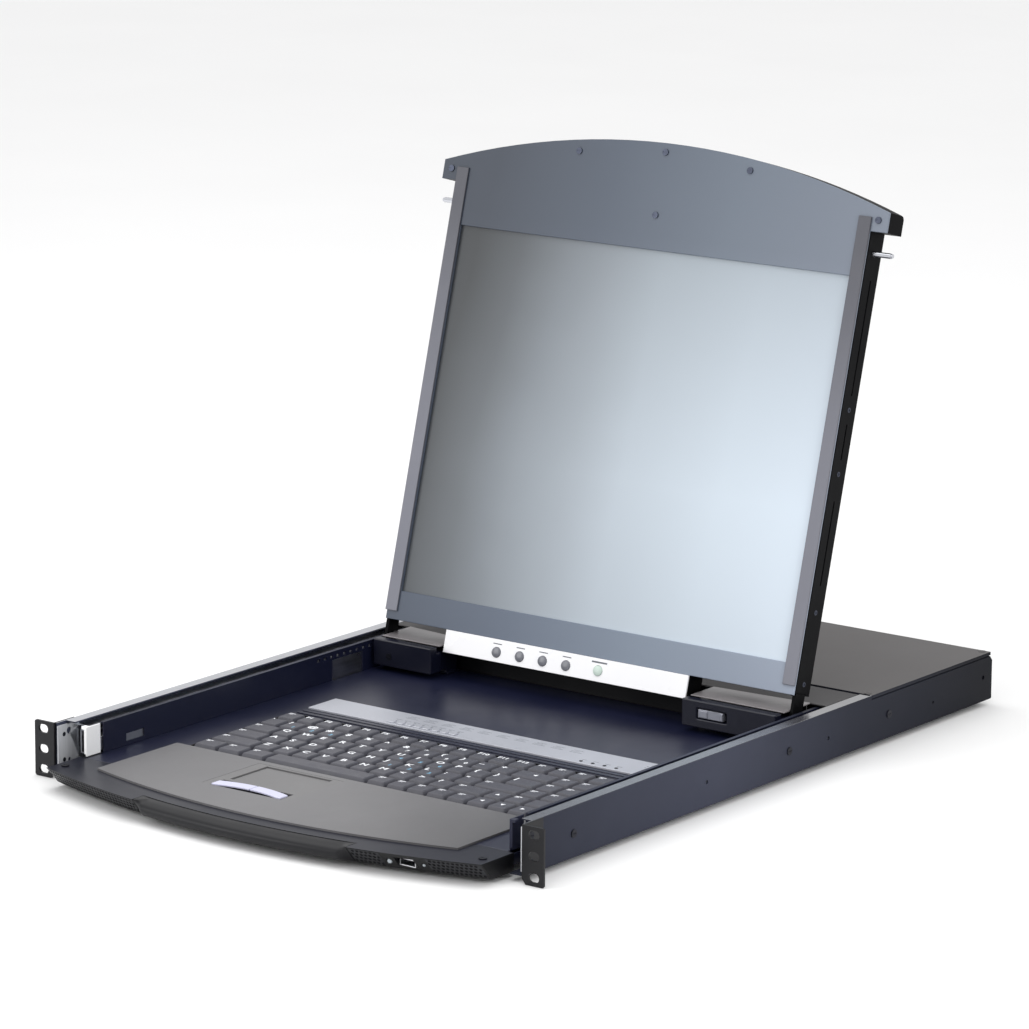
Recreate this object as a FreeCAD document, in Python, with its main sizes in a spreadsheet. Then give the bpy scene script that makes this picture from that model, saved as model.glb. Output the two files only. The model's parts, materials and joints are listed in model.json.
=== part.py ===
import FreeCAD, Part
import Sketcher
import os
import re
import math

# Rack console drawer, 1U. Millimetres, +Z up, +X to the user's right, +Y to the back.
# Lengths in the sheet are measured from the bottom of the 1U slot and from the front
# face of the rack ears; every sub-part's Placement then moves the model down so that
# the origin is the centre of the ears' screw pattern.

V = FreeCAD.Vector
doc = FreeCAD.newDocument("rack_console")
dims = doc.addObject("Spreadsheet::Sheet", "dims")

CELLS = [
    # rack interface
    ("slot_mid", 22.225), ("ear_half", 241.3), ("ear_top", 44.1), ("ear_low", 0.3),
    ("ear_thk", 2.0), ("hole_half", 232.55), ("hole_step", 15.875), ("hole_rad", 3.4),
    ("hole_len", 9.5), ("ear_leg", 24.0),
    # outer case
    ("case_half", 222.0), ("sheet_thk", 1.2), ("case_top", 44.0), ("case_low", 5.0),
    ("case_end", 630.0), ("flange_in", 10.0), ("foot_in", 12.0), ("seam", 452.5),
    ("rear_front", 454.5), ("rear_half", 220.7), ("rear_top", 41.2), ("lid_half", 221.9),
    ("lid_top", 44.1),
    # telescopic slides
    ("slide_start", 26.0), ("slide_end", 446.0), ("slide_lip", 208.5),
    ("outer_web", 220.6), ("outer_low", 11.2), ("outer_high", 38.8),
    ("mid_web", 218.4), ("mid_low", 15.5), ("mid_high", 34.5),
    ("inner_web", 201.85), ("inner_tip", 215.5), ("inner_low", 19.8), ("inner_high", 30.2),
    ("ball_rad", 1.5), ("cage_start", 150.0), ("cage_len", 150.0),
    # drawer
    ("pan_half", 201.8), ("pan_low", 6.5), ("wall_top", 41.5), ("lip_out", 1.8),
    ("pan_front", 12.0), ("pan_end", 450.5), ("wall_start", 33.0), ("deck_top", 17.7),
    ("deck_half", 200.3), ("bez_half", 206.0), ("bez_low", 4.0), ("bez_nose", 59.4),
    ("bez_rad", 659.0), ("bez_slope", 12.0), ("palm_half", 171.0), ("palm_nose", 33.0),
    ("palm_rad", 597.0), ("palm_top", 19.4),
    # keyboard
    ("kb_half", 161.2), ("kb_front", 84.8), ("kb_back", 210.2), ("key_unit", 18.75),
    ("key_row", 19.6), ("key_gap", 1.3), ("key_low", 15.9), ("key_top", 20.6),
    # port strip
    ("strip_half", 158.5), ("strip_front", 228.0), ("strip_back", 262.0), ("strip_top", 19.5),
    # hinge zone
    ("hinge_y", 378.5), ("hinge_z", 30.0), ("hinge_pin", 4.0), ("hinge_bore", 4.05),
    ("barrel_rad", 6.3), ("block_front", 358.0), ("block_low", 22.3), ("block_top", 43.9),
    # display, in its own frame: y is depth behind the front face, z runs up the screen
    ("lcd_y", 383.88), ("lcd_z", 79.8), ("lcd_tilt", 15.0), ("hinge_n", 7.7), ("hinge_s", -49.5),
    ("scr_half", 188.15), ("scr_high", 301.1), ("lcd_half", 200.0), ("lcd_low", -24.0),
    ("lcd_box_top", 346.0), ("lcd_deep", 21.8), ("bezel_thk", 2.0), ("hand_half", 215.0),
    ("hand_low", 337.0), ("arc_top", 386.4), ("arc_rad", 703.4), ("trim_in", 188.6),
    ("trim_out", 200.2), ("trim_thk", 1.5),
    ("osd_left", -136.5), ("osd_right", 102.0), ("osd_low", -42.5), ("osd_deep", 20.0),
]
VAL = {}
for row, (name, value) in enumerate(CELLS, start=1):
    dims.set("A%d" % row, name)
    dims.set("B%d" % row, "%.6g" % value)
    dims.setAlias("B%d" % row, name)
    VAL[name] = float(value)
doc.recompute()

WORD = re.compile(r"[a-z][a-z_0-9]*")


def ex(text):
    """A size as the expression FreeCAD evaluates: sheet words get the sheet's name."""
    return WORD.sub(lambda m: "dims." + m.group(0), str(text))


def num(text):
    """The same size as a number, for first guesses in sketches: sums of products."""
    total = 0.0
    for sign, term in re.findall(r"([+-]?)([^+-]+)", str(text).replace(" ", "")):
        product = 1.0
        for op, factor in re.findall(r"([*/]?)([^*/]+)", term):
            value = VAL[factor] if factor in VAL else float(factor)
            product = product / value if op == "/" else product * value
        total += -product if sign == "-" else product
    return total


count = [0]


def uid(stem):
    count[0] += 1
    return "%s_%d" % (stem, count[0])


def box(x0, x1, y0, y1, z0, z1):
    o = doc.addObject("Part::Box", uid("box"))
    for prop, lo, hi in (("Length", x0, x1), ("Width", y0, y1), ("Height", z0, z1)):
        o.setExpression(prop, "(%s)-(%s)" % (ex(hi), ex(lo)))
    for axis, lo in (("x", x0), ("y", y0), ("z", z0)):
        o.setExpression("Placement.Base." + axis, ex(lo))
    return o


TURN = {"x": FreeCAD.Rotation(V(0, 1, 0), 90), "y": FreeCAD.Rotation(V(1, 0, 0), -90), "z": FreeCAD.Rotation()}


def cyl(axis, x, y, z, radius, length):
    o = doc.addObject("Part::Cylinder", uid("cyl"))
    o.Placement = FreeCAD.Placement(V(0, 0, 0), TURN[axis])
    o.setExpression("Radius", ex(radius))
    o.setExpression("Height", ex(length))
    for a, lo in (("x", x), ("y", y), ("z", z)):
        o.setExpression("Placement.Base." + a, ex(lo))
    return o


def cone(x, y, z, r1, r2, height, axis="z"):
    o = doc.addObject("Part::Cone", uid("cone"))
    o.Placement = FreeCAD.Placement(V(0, 0, 0), TURN[axis])
    o.setExpression("Radius1", ex(r1))
    o.setExpression("Radius2", ex(r2))
    o.setExpression("Height", ex(height))
    for a, lo in (("x", x), ("y", y), ("z", z)):
        o.setExpression("Placement.Base." + a, ex(lo))
    return o


def ball(x, y, z, radius):
    o = doc.addObject("Part::Sphere", uid("ball"))
    o.setExpression("Radius", ex(radius))
    for a, lo in (("x", x), ("y", y), ("z", z)):
        o.setExpression("Placement.Base." + a, ex(lo))
    return o


def fuse(*parts):
    if len(parts) == 1:
        return parts[0]
    o = doc.addObject("Part::MultiFuse", uid("fuse"))
    o.Shapes = list(parts)
    return o


def cut(base, *tools):
    o = doc.addObject("Part::Cut", uid("cut"))
    o.Base = base
    o.Tool = fuse(*tools)
    return o


def common(a, b):
    o = doc.addObject("Part::MultiCommon", uid("common"))
    o.Shapes = [a, b]
    return o


def group(*parts):
    o = doc.addObject("Part::Compound", uid("group"))
    o.Links = list(parts)
    return o


def mirror(src):
    o = doc.addObject("Part::Mirroring", uid("mirror"))
    o.Source = src
    o.Normal = V(1, 0, 0)
    o.Base = V(0, 0, 0)
    return o


PLANES = {"xz": "XZ_Plane", "xy": "XY_Plane", "yz": "YZ_Plane"}


def prism(plane, start, length, points):
    """A body padded from one closed outline whose corners are driven by the sheet."""
    body = doc.addObject("PartDesign::Body", uid("body"))
    base = [f for f in body.Origin.OriginFeatures if f.Role == PLANES[plane]][0]
    sk = body.newObject("Sketcher::SketchObject", uid("outline"))
    sk.AttachmentSupport = [(base, "")]
    sk.MapMode = "FlatFace"
    # the XZ plane's normal points along -Y
    sk.setExpression("AttachmentOffset.Base.z", ("-(%s)" if plane == "xz" else "(%s)") % ex(start))
    pts = [(num(a), num(b)) for a, b in points]
    n = len(pts)
    for i in range(n):
        a, b = pts[i], pts[(i + 1) % n]
        sk.addGeometry(Part.LineSegment(V(a[0], a[1], 0), V(b[0], b[1], 0)), False)
    for i in range(n):
        sk.addConstraint(Sketcher.Constraint("Coincident", i, 2, (i + 1) % n, 1))
    for i in range(n):
        for kind, text, value in (("DistanceX", points[i][0], pts[i][0]), ("DistanceY", points[i][1], pts[i][1])):
            k = sk.addConstraint(Sketcher.Constraint(kind, -1, 1, i, 1, value))
            if WORD.search(str(text)):
                sk.setExpression("Constraints[%d]" % k, ex(text))
    pad = body.newObject("PartDesign::Pad", uid("pad"))
    pad.Profile = sk
    pad.setExpression("Length", ex(length))
    pad.Reversed = plane == "xz"
    body.Tip = pad
    return body


NODES = []
TILT = VAL["lcd_tilt"]
SLOT = FreeCAD.Placement(V(0, 0, -VAL["slot_mid"]), FreeCAD.Rotation())
SCREEN = FreeCAD.Placement(V(0, VAL["lcd_y"], VAL["lcd_z"] - VAL["slot_mid"]), FreeCAD.Rotation(V(1, 0, 0), -TILT))


def node(label, obj, frame=SLOT):
    """Name a finished sub-part and stand it in its frame."""
    if obj.TypeId not in ("PartDesign::Body", "Part::Compound"):
        obj = group(obj)
    obj.Label = label
    obj.Placement = frame
    NODES.append(obj)
    return obj


# ---------------------------------------------------------------- outer case
def side_plate():
    # folded side plate: web, foot flange, top flange
    web = prism("xz", "2.2", "case_end+0.6", [
        ("case_half", "case_low"), ("case_half", "case_top"), ("case_half-flange_in", "case_top"),
        ("case_half-flange_in", "case_top-sheet_thk"), ("case_half-sheet_thk", "case_top-sheet_thk"),
        ("case_half-sheet_thk", "case_low+sheet_thk"), ("case_half-foot_in", "case_low+sheet_thk"),
        ("case_half-foot_in", "case_low")])
    corner = prism("yz", "case_half-5", "10", [("case_end-1.2", "41.6"), ("case_end+4", "41.6"), ("case_end+4", "35.4")])
    toe = prism("yz", "case_half-5", "10", [("case_end+1", "case_low-1"), ("case_end+4", "case_low+2"), ("case_end+4", "case_low-1")])
    tools = [
        # the lid's skirt stands on the rear part of the web
        box("case_half-2", "case_half+1", "seam+2", "case_end+5", "40.6", "case_top+1"), toe,
        # no flanges beside the rear box, and none in front of the lock pins
        box("case_half-foot_in-1", "case_half-sheet_thk", "seam", "case_end+5", "case_low-1", "case_top+1"),
        box("case_half-foot_in-1", "case_half-sheet_thk", "0", "13", "case_top-3", "case_top+1"),
        corner]
    for y, z, r in ((62, 23.2, 2.0), (230, 24, 1.6), (339.6, 24.2, 2.0), (394, 22.7, 1.6), (479.3, 24.1, 2.0), (544.3, 20, 1.2), (619.3, 24.8, 1.8), (9, 14, 1.8), (9, 34, 1.8)):
        tools.append(cyl("x", "case_half-3", str(y), str(z), str(r), "6"))
    return cut(web, *tools)


node("side_plate_right", side_plate())
node("side_plate_left", mirror(side_plate()))


def rack_ear():
    # angle: front face with three slots, and a leg along the outside of the side plate
    face = prism("xz", "0", "ear_thk", [
        ("case_half-0.1", "ear_top"), ("ear_half-1.2", "ear_top"), ("ear_half", "ear_top-1.2"),
        ("ear_half", "ear_low+1.2"), ("ear_half-1.2", "ear_low"), ("case_half+3.2", "ear_low"), ("case_half-0.1", "ear_low+4.2")])
    leg = box("case_half+0.05", "case_half+1.25", "ear_thk-0.2", "ear_leg", "case_low", "case_top")
    tools = []
    for k in (-1, 0, 1):
        z = "slot_mid+hole_step*%d" % k if k >= 0 else "slot_mid-hole_step"
        tools.append(box("hole_half-hole_len/2+hole_rad", "hole_half+hole_len/2-hole_rad", "-1", "ear_thk+1", z + "-hole_rad", z + "+hole_rad"))
        for s in ("-hole_len/2+hole_rad", "+hole_len/2-hole_rad"):
            tools.append(cyl("y", "hole_half" + s, "-1", z, "hole_rad", "ear_thk+2"))
    for z in (14, 34):
        tools.append(cyl("x", "case_half-1", "9", str(z), "1.8", "4"))
    return cut(fuse(face, leg), *tools)


node("rack_ear_right", rack_ear())
node("rack_ear_left", mirror(rack_ear()))


def outer_slide():
    # fixed slide member with its mounting tab reaching to the ears
    rail = prism("xz", "slide_start", "slide_end-slide_start", [
        ("outer_web", "outer_low"), ("outer_web", "outer_high"), ("slide_lip", "outer_high"),
        ("slide_lip", "outer_high-sheet_thk"), ("outer_web-sheet_thk", "outer_high-sheet_thk"),
        ("outer_web-sheet_thk", "outer_low+sheet_thk"), ("slide_lip", "outer_low+sheet_thk"), ("slide_lip", "outer_low")])
    tab = box("outer_web-sheet_thk", "outer_web", "2.2", "slide_start+0.1", "8.5", "41.5")
    tools = [cyl("x", "outer_web-3", "14.6", "36", "2.6", "6"), cyl("x", "outer_web-3", "15", "13", "1.8", "6"),
             cyl("x", "outer_web-3", "9", "14", "1.8", "6"), cyl("x", "outer_web-3", "9", "34", "1.8", "6"),
             box("outer_web-3", "outer_web+3", "13.6", "15.6", "33", "36")]
    for y, z in ((62, 23.2), (339.6, 24.2)):
        tools.append(cyl("x", "outer_web-3", str(y), str(z), "2", "6"))
    return cut(fuse(rail, tab), *tools)


node("outer_slide_right", outer_slide())
node("outer_slide_left", mirror(outer_slide()))

SOCKETS = [-96 + 15.6 * k for k in range(8)]
base_shell = cut(
    fuse(box("-rear_half", "rear_half", "rear_front", "case_end", "case_low", "rear_top")),
    box("-rear_half+sheet_thk", "rear_half-sheet_thk", "rear_front+sheet_thk", "case_end-sheet_thk", "case_low+sheet_thk", "rear_top-sheet_thk"),
    box("-rear_half+8", "rear_half-8", "rear_front+6", "case_end-6", "rear_top-5", "rear_top+1"))
base_cuts = [box("-199", "-171", "case_end-3", "case_end+1", "14", "34"),
             box("-161.5", "-147.5", "case_end-3", "case_end+1", "13.5", "33.5"),
             box("-104", "21.5", "case_end-3", "case_end+1", "12.5", "26.5"),
             box("40", "71.5", "case_end-3", "case_end+1", "12.5", "24.5"),
             box("84", "98", "case_end-3", "case_end+1", "11.5", "27.5")]
for y, z in ((479.3, 24.1),):
    base_cuts.append(cyl("x", "rear_half-3", str(y), str(z), "2", "6"))
    base_cuts.append(cyl("x", "-rear_half-3", str(y), str(z), "2", "6"))
# vent slots beside the power unit
for k in range(9):
    base_cuts.append(box("%g" % (112 + 9 * k), "%g" % (116 + 9 * k), "case_end-3", "case_end+1", "13", "33"))
for x in (-216, 0, 216):
    base_cuts.append(cyl("z", str(x), "rear_front+3.6", "rear_top-3", "1.6", "5"))
    base_cuts.append(cyl("z", str(x), "case_end-3.4", "rear_top-3", "1.6", "5"))
node("rear_case_base", cut(base_shell, *base_cuts))

lid = cut(box("-lid_half", "lid_half", "rear_front+0.5", "case_end+0.3", "rear_top+0.1", "lid_top"),
          box("-lid_half+sheet_thk", "lid_half-sheet_thk", "rear_front+0.5+sheet_thk", "case_end+0.3-sheet_thk", "rear_top", "lid_top-sheet_thk"))
lid_cuts = []
for x in (-216, 0, 216):
    for y in ("rear_front+3.6", "case_end-3.4"):
        lid_cuts.append(cyl("z", str(x), y, "rear_top-1", "1.6", "6"))
node("rear_case_cover", cut(lid, *lid_cuts))


def screw(axis, x, y, z, sign, head=3.1, high=0.8, shank=1.8, deep=2.6):
    """Pan-head screw: head outside the surface at (x, y, z), shank behind it."""
    h0, s0 = (0.0, -deep) if sign > 0 else (-high, -0.01)
    pos = {"x": x, "y": y, "z": z}
    def along(d):
        p = dict(pos)
        p[axis] = "%s%+g" % (p[axis], d)
        return p
    a, b = along(h0), along(s0)
    body = fuse(cyl(axis, a["x"], a["y"], a["z"], str(head), str(high)),
                cyl(axis, b["x"], b["y"], b["z"], str(shank), "%g" % (deep + 0.01)))
    if axis == "z":
        slot = box("%s-2" % x, "%s+2" % x, "%s-0.35" % y, "%s+0.35" % y, "%s%+g" % (z, high - 0.4 if sign > 0 else -high), "%s%+g" % (z, high + 0.1 if sign > 0 else -high + 0.4))
    elif axis == "x":
        slot = box("%s%+g" % (x, high - 0.4 if sign > 0 else -high - 0.1), "%s%+g" % (x, high + 0.1 if sign > 0 else -high + 0.4), "%s-2" % y, "%s+2" % y, "%s-0.35" % z, "%s+0.35" % z)
    else:
        slot = box("%s-2" % x, "%s+2" % x, "%s%+g" % (y, high - 0.4 if sign > 0 else -high - 0.1), "%s%+g" % (y, high + 0.1 if sign > 0 else -high + 0.4), "%s-0.35" % z, "%s+0.35" % z)
    return cut(body, slot)


cs = []
for y, z in ((62, 23.2), (339.6, 24.2), (479.3, 24.1)):
    cs.append(screw("x", "case_half", str(y), str(z), 1))
    cs.append(screw("x", "-case_half", str(y), str(z), -1))
for z in (14, 34):
    cs.append(screw("x", "case_half+1.25", "9", str(z), 1, shank=1.7, deep=3.9))
    cs.append(screw("x", "-case_half-1.25", "9", str(z), -1, shank=1.7, deep=3.9))
for x in (-216, 0, 216):
    for y in ("rear_front+3.6", "case_end-3.4"):
        cs.append(screw("z", str(x), y, "lid_top", 1, head=2.9, high=0.4, shank=1.5, deep=4.2))
node("chassis_screws", group(*cs))

# switch board with its chips, heat sink and connector blocks
board = [box("-112", "205", "466", "612", "10.2", "11.8"), box("-30", "-2", "520", "548", "11.7", "14.2"),
         box("30", "62", "500", "532", "11.7", "13.8"), box("96", "112", "500", "516", "11.7", "13.4"),
         box("140", "176", "560", "590", "11.7", "16"), box("-90", "-60", "480", "492", "11.7", "17")]
board += [box("%g" % (-29 + 4 * k), "%g" % (-27 + 4 * k), "521", "547", "14.1", "22") for k in range(7)]
board += [cyl("z", "%g" % (150 + 14 * k), "486", "11.7", "4.5", "12") for k in range(3)]
board += [cyl("z", str(x), str(y), "6.2", "2.6", "4.1") for x in (-106, 198) for y in (472, 606)]
node("main_board", fuse(*board))

psu = cut(box("-209", "-124", "470", "606", "6.3", "38"), box("-207.8", "-125.2", "471.2", "604.8", "12", "36.8"))
psu_cuts = [box("%g" % (-200 + 9 * k), "%g" % (-195.5 + 9 * k), "480", "500", "36", "39") for k in range(8)]
psu_cuts += [box("-201", "-168", "603", "607", "13", "35"), box("-126", "-123", "500", "580", "16", "30")]
node("power_supply", cut(psu, *psu_cuts))

inlet = cut(fuse(box("-198.8", "-171.2", "611", "case_end+0.2", "14.2", "33.8"), box("-209", "-161.9", "case_end+0.05", "case_end+2.2", "12.5", "35.5")),
            box("-197", "-173", "613.5", "case_end+3", "16", "32"),
            cyl("y", "-205.5", "case_end-1", "24", "1.6", "5"), cyl("y", "-165.4", "case_end-1", "24", "1.6", "5"))
blades = fuse(box("-192.5", "-190.5", "613", "626", "19", "25"), box("-179.5", "-177.5", "613", "626", "19", "25"), box("-186", "-184", "613", "627.5", "24", "30"))
node("power_inlet", fuse(inlet, blades))

gang = box("-103.8", "21.3", "612", "case_end+1.2", "12.7", "26.3")
gang_cuts = []
for x in SOCKETS:
    gang_cuts.append(box("%g" % (x - 5.95), "%g" % (x + 5.95), "616", "case_end+2", "16.2", "24.6"))
video = cut(fuse(box("40.2", "71.3", "612", "case_end+0.9", "12.7", "24.3"), box("44.4", "67.1", "612", "case_end+6", "14.2", "22.8")),
            box("45.4", "66.1", "case_end+1", "case_end+7", "15.2", "21.8"))
usbs = cut(box("84.2", "97.8", "612", "case_end+1.2", "11.7", "27.3"),
           box("85.2", "96.8", "616", "case_end+2", "13", "18.4"), box("85.2", "96.8", "616", "case_end+2", "20.4", "25.8"))
node("rear_sockets", group(cut(gang, *gang_cuts), video, usbs))

# rocker of the power switch, lying in its off position
rocker = prism("yz", "-160.8", "12.6", [("614", "-8.6"), ("631.6", "-8.6"), ("630.4", "0"), ("631.6", "8.6"), ("614", "8.6")])
rocker_pin = cyl("x", "-161.3", "620", "0", "1.6", "13.6")
rocker_all = fuse(rocker, rocker_pin)
lean = FreeCAD.Placement(V(0, 620, 23.5), FreeCAD.Rotation(V(1, 0, 0), -5)).multiply(FreeCAD.Placement(V(0, -620, 0), FreeCAD.Rotation()))
node("power_switch", rocker_all, SLOT.multiply(lean))

# ---------------------------------------------------------------- telescopic slides
def middle_slide():
    return prism("xz", "slide_start", "slide_end-slide_start", [
        ("mid_web", "mid_low"), ("mid_web", "mid_high"), ("slide_lip", "mid_high"),
        ("slide_lip", "mid_high-sheet_thk"), ("mid_web-sheet_thk", "mid_high-sheet_thk"),
        ("mid_web-sheet_thk", "mid_low+sheet_thk"), ("slide_lip", "mid_low+sheet_thk"), ("slide_lip", "mid_low")])


node("middle_slide_right", middle_slide())
node("middle_slide_left", mirror(middle_slide()))


def cage(web_out, web_in, tip, low, high, ball_x):
    """Ball cage: thin channel between two slide members, with its balls in round pockets.
    low and high are the heights of the ball centres."""
    thin = prism("xz", "cage_start", "cage_len", [
        (web_out, low + "-0.3"), (web_out, high + "+0.3"), (tip, high + "+0.3"), (tip, high + "-0.3"),
        (web_in, high + "-0.3"), (web_in, low + "+0.3"), (tip, low + "+0.3"), (tip, low + "-0.3")])
    pockets, balls = [], []
    for k in range(5):
        y = "cage_start+%g" % (15 + 30 * k)
        for z in (low, high):
            pockets.append(cyl("z", ball_x, y, z + "-1", "ball_rad+0.15", "2"))
            balls.append(ball(ball_x, y, z, "ball_rad"))
    return group(cut(thin, *pockets), *balls)


outer_cage = ("219.15", "218.65", "210", "outer_low+sheet_thk+ball_rad+0.05", "outer_high-sheet_thk-ball_rad-0.05", "214")
inner_cage = ("216.6", "216.1", "205", "mid_low+sheet_thk+ball_rad+0.05", "mid_high-sheet_thk-ball_rad-0.05", "211")
node("ball_cages_outer", group(cage(*outer_cage), mirror(cage(*outer_cage))))
node("ball_cages_inner", group(cage(*inner_cage), mirror(cage(*inner_cage))))


def inner_slide():
    # slide member with the plate that takes the hinge's load at its back
    plate = box("inner_web", "inner_web+sheet_thk", "306", "353", "11.2", "36.8")
    return fuse(plate, prism("xz", "30", "slide_end-30", [
        ("inner_web", "inner_low"), ("inner_tip", "inner_low"), ("inner_tip", "inner_low+sheet_thk"),
        ("inner_web+sheet_thk", "inner_low+sheet_thk"), ("inner_web+sheet_thk", "inner_high-sheet_thk"),
        ("inner_tip", "inner_high-sheet_thk"), ("inner_tip", "inner_high"), ("inner_web", "inner_high")]))


node("inner_slide_right", inner_slide())
node("inner_slide_left", mirror(inner_slide()))

# ---------------------------------------------------------------- drawer
pan = prism("xz", "pan_front", "pan_end-pan_front", [
    ("-pan_half", "pan_low"), ("pan_half", "pan_low"), ("pan_half", "wall_top-sheet_thk"),
    ("pan_half+lip_out", "wall_top-sheet_thk"), ("pan_half+lip_out", "wall_top"), ("pan_half-sheet_thk", "wall_top"),
    ("pan_half-sheet_thk", "pan_low+sheet_thk"), ("-pan_half+sheet_thk", "pan_low+sheet_thk"),
    ("-pan_half+sheet_thk", "wall_top"), ("-pan_half-lip_out", "wall_top"),
    ("-pan_half-lip_out", "wall_top-sheet_thk"), ("-pan_half", "wall_top-sheet_thk")])
pan_full = fuse(pan, box("-pan_half+sheet_thk-0.1", "pan_half-sheet_thk+0.1", "pan_end-sheet_thk", "pan_end", "pan_low", "wall_top+1.2"),
                box("-pan_half+sheet_thk-0.1", "pan_half-sheet_thk+0.1", "pan_front", "pan_front+sheet_thk", "pan_low", "15"))
pan_cuts = [box("-210", "210", "pan_front-1", "wall_start", "15", "50")]
for s in (-1, 1):
    a, b = ("pan_half-2", "pan_half+0.5") if s > 0 else ("-pan_half-0.5", "-pan_half+2")
    pan_cuts.append(box(a, b, "59", "80", "21", "27"))
    pan_cuts.append(box(a, b, "310", "349", "13.5", "34.5"))
    for k in range(11):
        pan_cuts.append(box(a, b, "%g" % (291 + 8.2 * k), "%g" % (294.6 + 8.2 * k), "36", "38.4"))
pan_cuts.append(box("-60", "60", "pan_end-3", "pan_end+1", "20", "34"))
pan_cuts.append(cyl("x", "-pan_half-0.5", "372", "24", "1.05", "3"))
node("drawer_pan", cut(pan_full, *pan_cuts))

deck = fuse(box("-deck_half", "deck_half", "pan_front+0.4", "448", "deck_top-sheet_thk", "deck_top"),
            box("-deck_half", "-deck_half+sheet_thk", "34", "448", "pan_low+sheet_thk+0.05", "deck_top-0.5"),
            box("deck_half-sheet_thk", "deck_half", "34", "448", "pan_low+sheet_thk+0.05", "deck_top-0.5"))
# raised ribs between the keys and the port strip
deck = fuse(deck, box("-strip_half", "strip_half", "213.5", "217", "deck_top-0.1", "deck_top+1.1"), box("-strip_half", "strip_half", "220.5", "224.5", "deck_top-0.1", "deck_top+0.9"))
node("deck_panel", cut(deck, box("-kb_half-0.3", "kb_half+0.3", "kb_front-0.3", "kb_back+0.3", "deck_top-5", "deck_top+5")))

bez = common(box("-bez_half", "bez_half", "-bez_nose-1", "pan_front", "bez_low", "deck_top"),
             cone("0", "bez_rad-bez_nose", "bez_low", "bez_rad-bez_slope", "bez_rad", "deck_top-bez_low"))
bez_cuts = [common(box("-bez_half+2.5", "bez_half-2.5", "-bez_nose", "pan_front+1", "bez_low+2.2", "deck_top-2.2"),
                   cone("0", "bez_rad-bez_nose", "bez_low", "bez_rad-bez_slope-2.6", "bez_rad-2.6", "deck_top-bez_low")),
            cut(box("-98.2", "103.2", "-bez_nose-5", "-20", "bez_low-1", "deck_top+1"), cyl("z", "0", "bez_rad-bez_nose", "bez_low-2", "bez_rad-13", "20")),
            box("138.9", "153.8", "-50", "-20", "7.1", "14.5"), cyl("y", "133.4", "-52", "10.3", "2.2", "32"), cyl("y", "160", "-52", "10.5", "1.3", "32")]
bez_cuts += [cyl("z", str(x), "-14", "deck_top-2.1", "1.35", "3") for x in (-198, 198)]
node("front_bezel", cut(bez, *bez_cuts))

# pull grip: a rounded nose swept along the same arc as the bezel
rc = VAL["bez_rad"]
GRIP = [(-13, 4.4), (-8, 4.6), (-3.4, 6.4), (-0.9, 9.4), (-0.7, 12.0), (-3.2, 14.6), (-8, 16.5), (-13, 17.2)]
grip_body = doc.addObject("PartDesign::Body", "grip")
gp = [f for f in grip_body.Origin.OriginFeatures if f.Role == "YZ_Plane"][0]
gs = grip_body.newObject("Sketcher::SketchObject", "grip_outline")
gs.AttachmentSupport = [(gp, "")]
gs.MapMode = "FlatFace"
cy = VAL["bez_rad"] - VAL["bez_nose"]
gpts = [(cy - (rc + r), z) for r, z in GRIP]
for i in range(len(gpts)):
    a, b = gpts[i], gpts[(i + 1) % len(gpts)]
    gs.addGeometry(Part.LineSegment(V(a[0], a[1], 0), V(b[0], b[1], 0)), False)
for i in range(len(gpts)):
    gs.addConstraint(Sketcher.Constraint("Coincident", i, 2, (i + 1) % len(gpts), 1))
for i, (r, z) in enumerate(GRIP):
    k = gs.addConstraint(Sketcher.Constraint("DistanceX", -1, 1, i, 1, gpts[i][0]))
    gs.setExpression("Constraints[%d]" % k, "-dims.bez_nose-(%g)" % r)
    gs.addConstraint(Sketcher.Constraint("DistanceY", -1, 1, i, 1, z))
axis_line = grip_body.newObject("PartDesign::Line", "grip_axis")
axis_line.MapMode = "Deactivated"
axis_line.Placement = FreeCAD.Placement(V(0, cy, 0), FreeCAD.Rotation())
rev = grip_body.newObject("PartDesign::Revolution", "grip_sweep")
rev.Profile = gs
rev.ReferenceAxis = (axis_line, [""])
rev.Angle = 18.9
rev.Midplane = True
grip_body.Tip = rev
doc.recompute()
node("handle_grip", common(grip_body, box("-98", "103", "-bez_nose-2", "-20", "0", "30")))

palm = cut(common(box("-palm_half", "palm_half", "-palm_nose-1", "kb_front-0.8", "deck_top+0.05", "palm_top"),
                  cyl("z", "0", "palm_rad-palm_nose", "deck_top-1", "palm_rad", "5")),
           box("-84", "-2", "10.5", "77.5", "deck_top-1", "palm_top+1"))
node("palm_rest", palm)
tp = cut(box("-83.8", "-2.2", "10.7", "77.3", "deck_top+0.05", "palm_top-0.1"),
         box("-73.6", "-10.2", "31", "74.6", "deck_top+0.4", "palm_top+1"),
         box("-75.6", "-8.4", "10.6", "26.6", "deck_top+0.4", "palm_top+1"))
tp = fuse(tp, box("-72.6", "-11.2", "31.8", "73.6", "deck_top+0.3", "deck_top+0.7"))
node("touchpad", tp)


def pad_button(x0, x1):
    ring = cut(cyl("z", "-42", "-76.5", "deck_top+1.2", "102.3", "1.4"), cyl("z", "-42", "-76.5", "deck_top+1", "92", "2"))
    return common(ring, box(x0, x1, "11", "26.4", "deck_top+1.2", "deck_top+2.6"))


node("touchpad_button_left", pad_button("-75", "-42.4"))
node("touchpad_button_right", pad_button("-41.6", "-9"))

kb = cut(box("-kb_half", "kb_half", "kb_front", "kb_back", "12", "deck_top+0.7"),
         box("-kb_half+1.5", "kb_half-1.5", "kb_front+1.5", "kb_back-1.5", "13.2", "deck_top+2"))
posts = [box(x0, x1, y0, y1, "pan_low+sheet_thk+0.05", "12.1") for x0, x1 in (("-150", "-130"), ("130", "150")) for y0, y1 in (("90", "100"), ("195", "205"))]
node("keyboard_base", fuse(kb, *posts))


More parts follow.
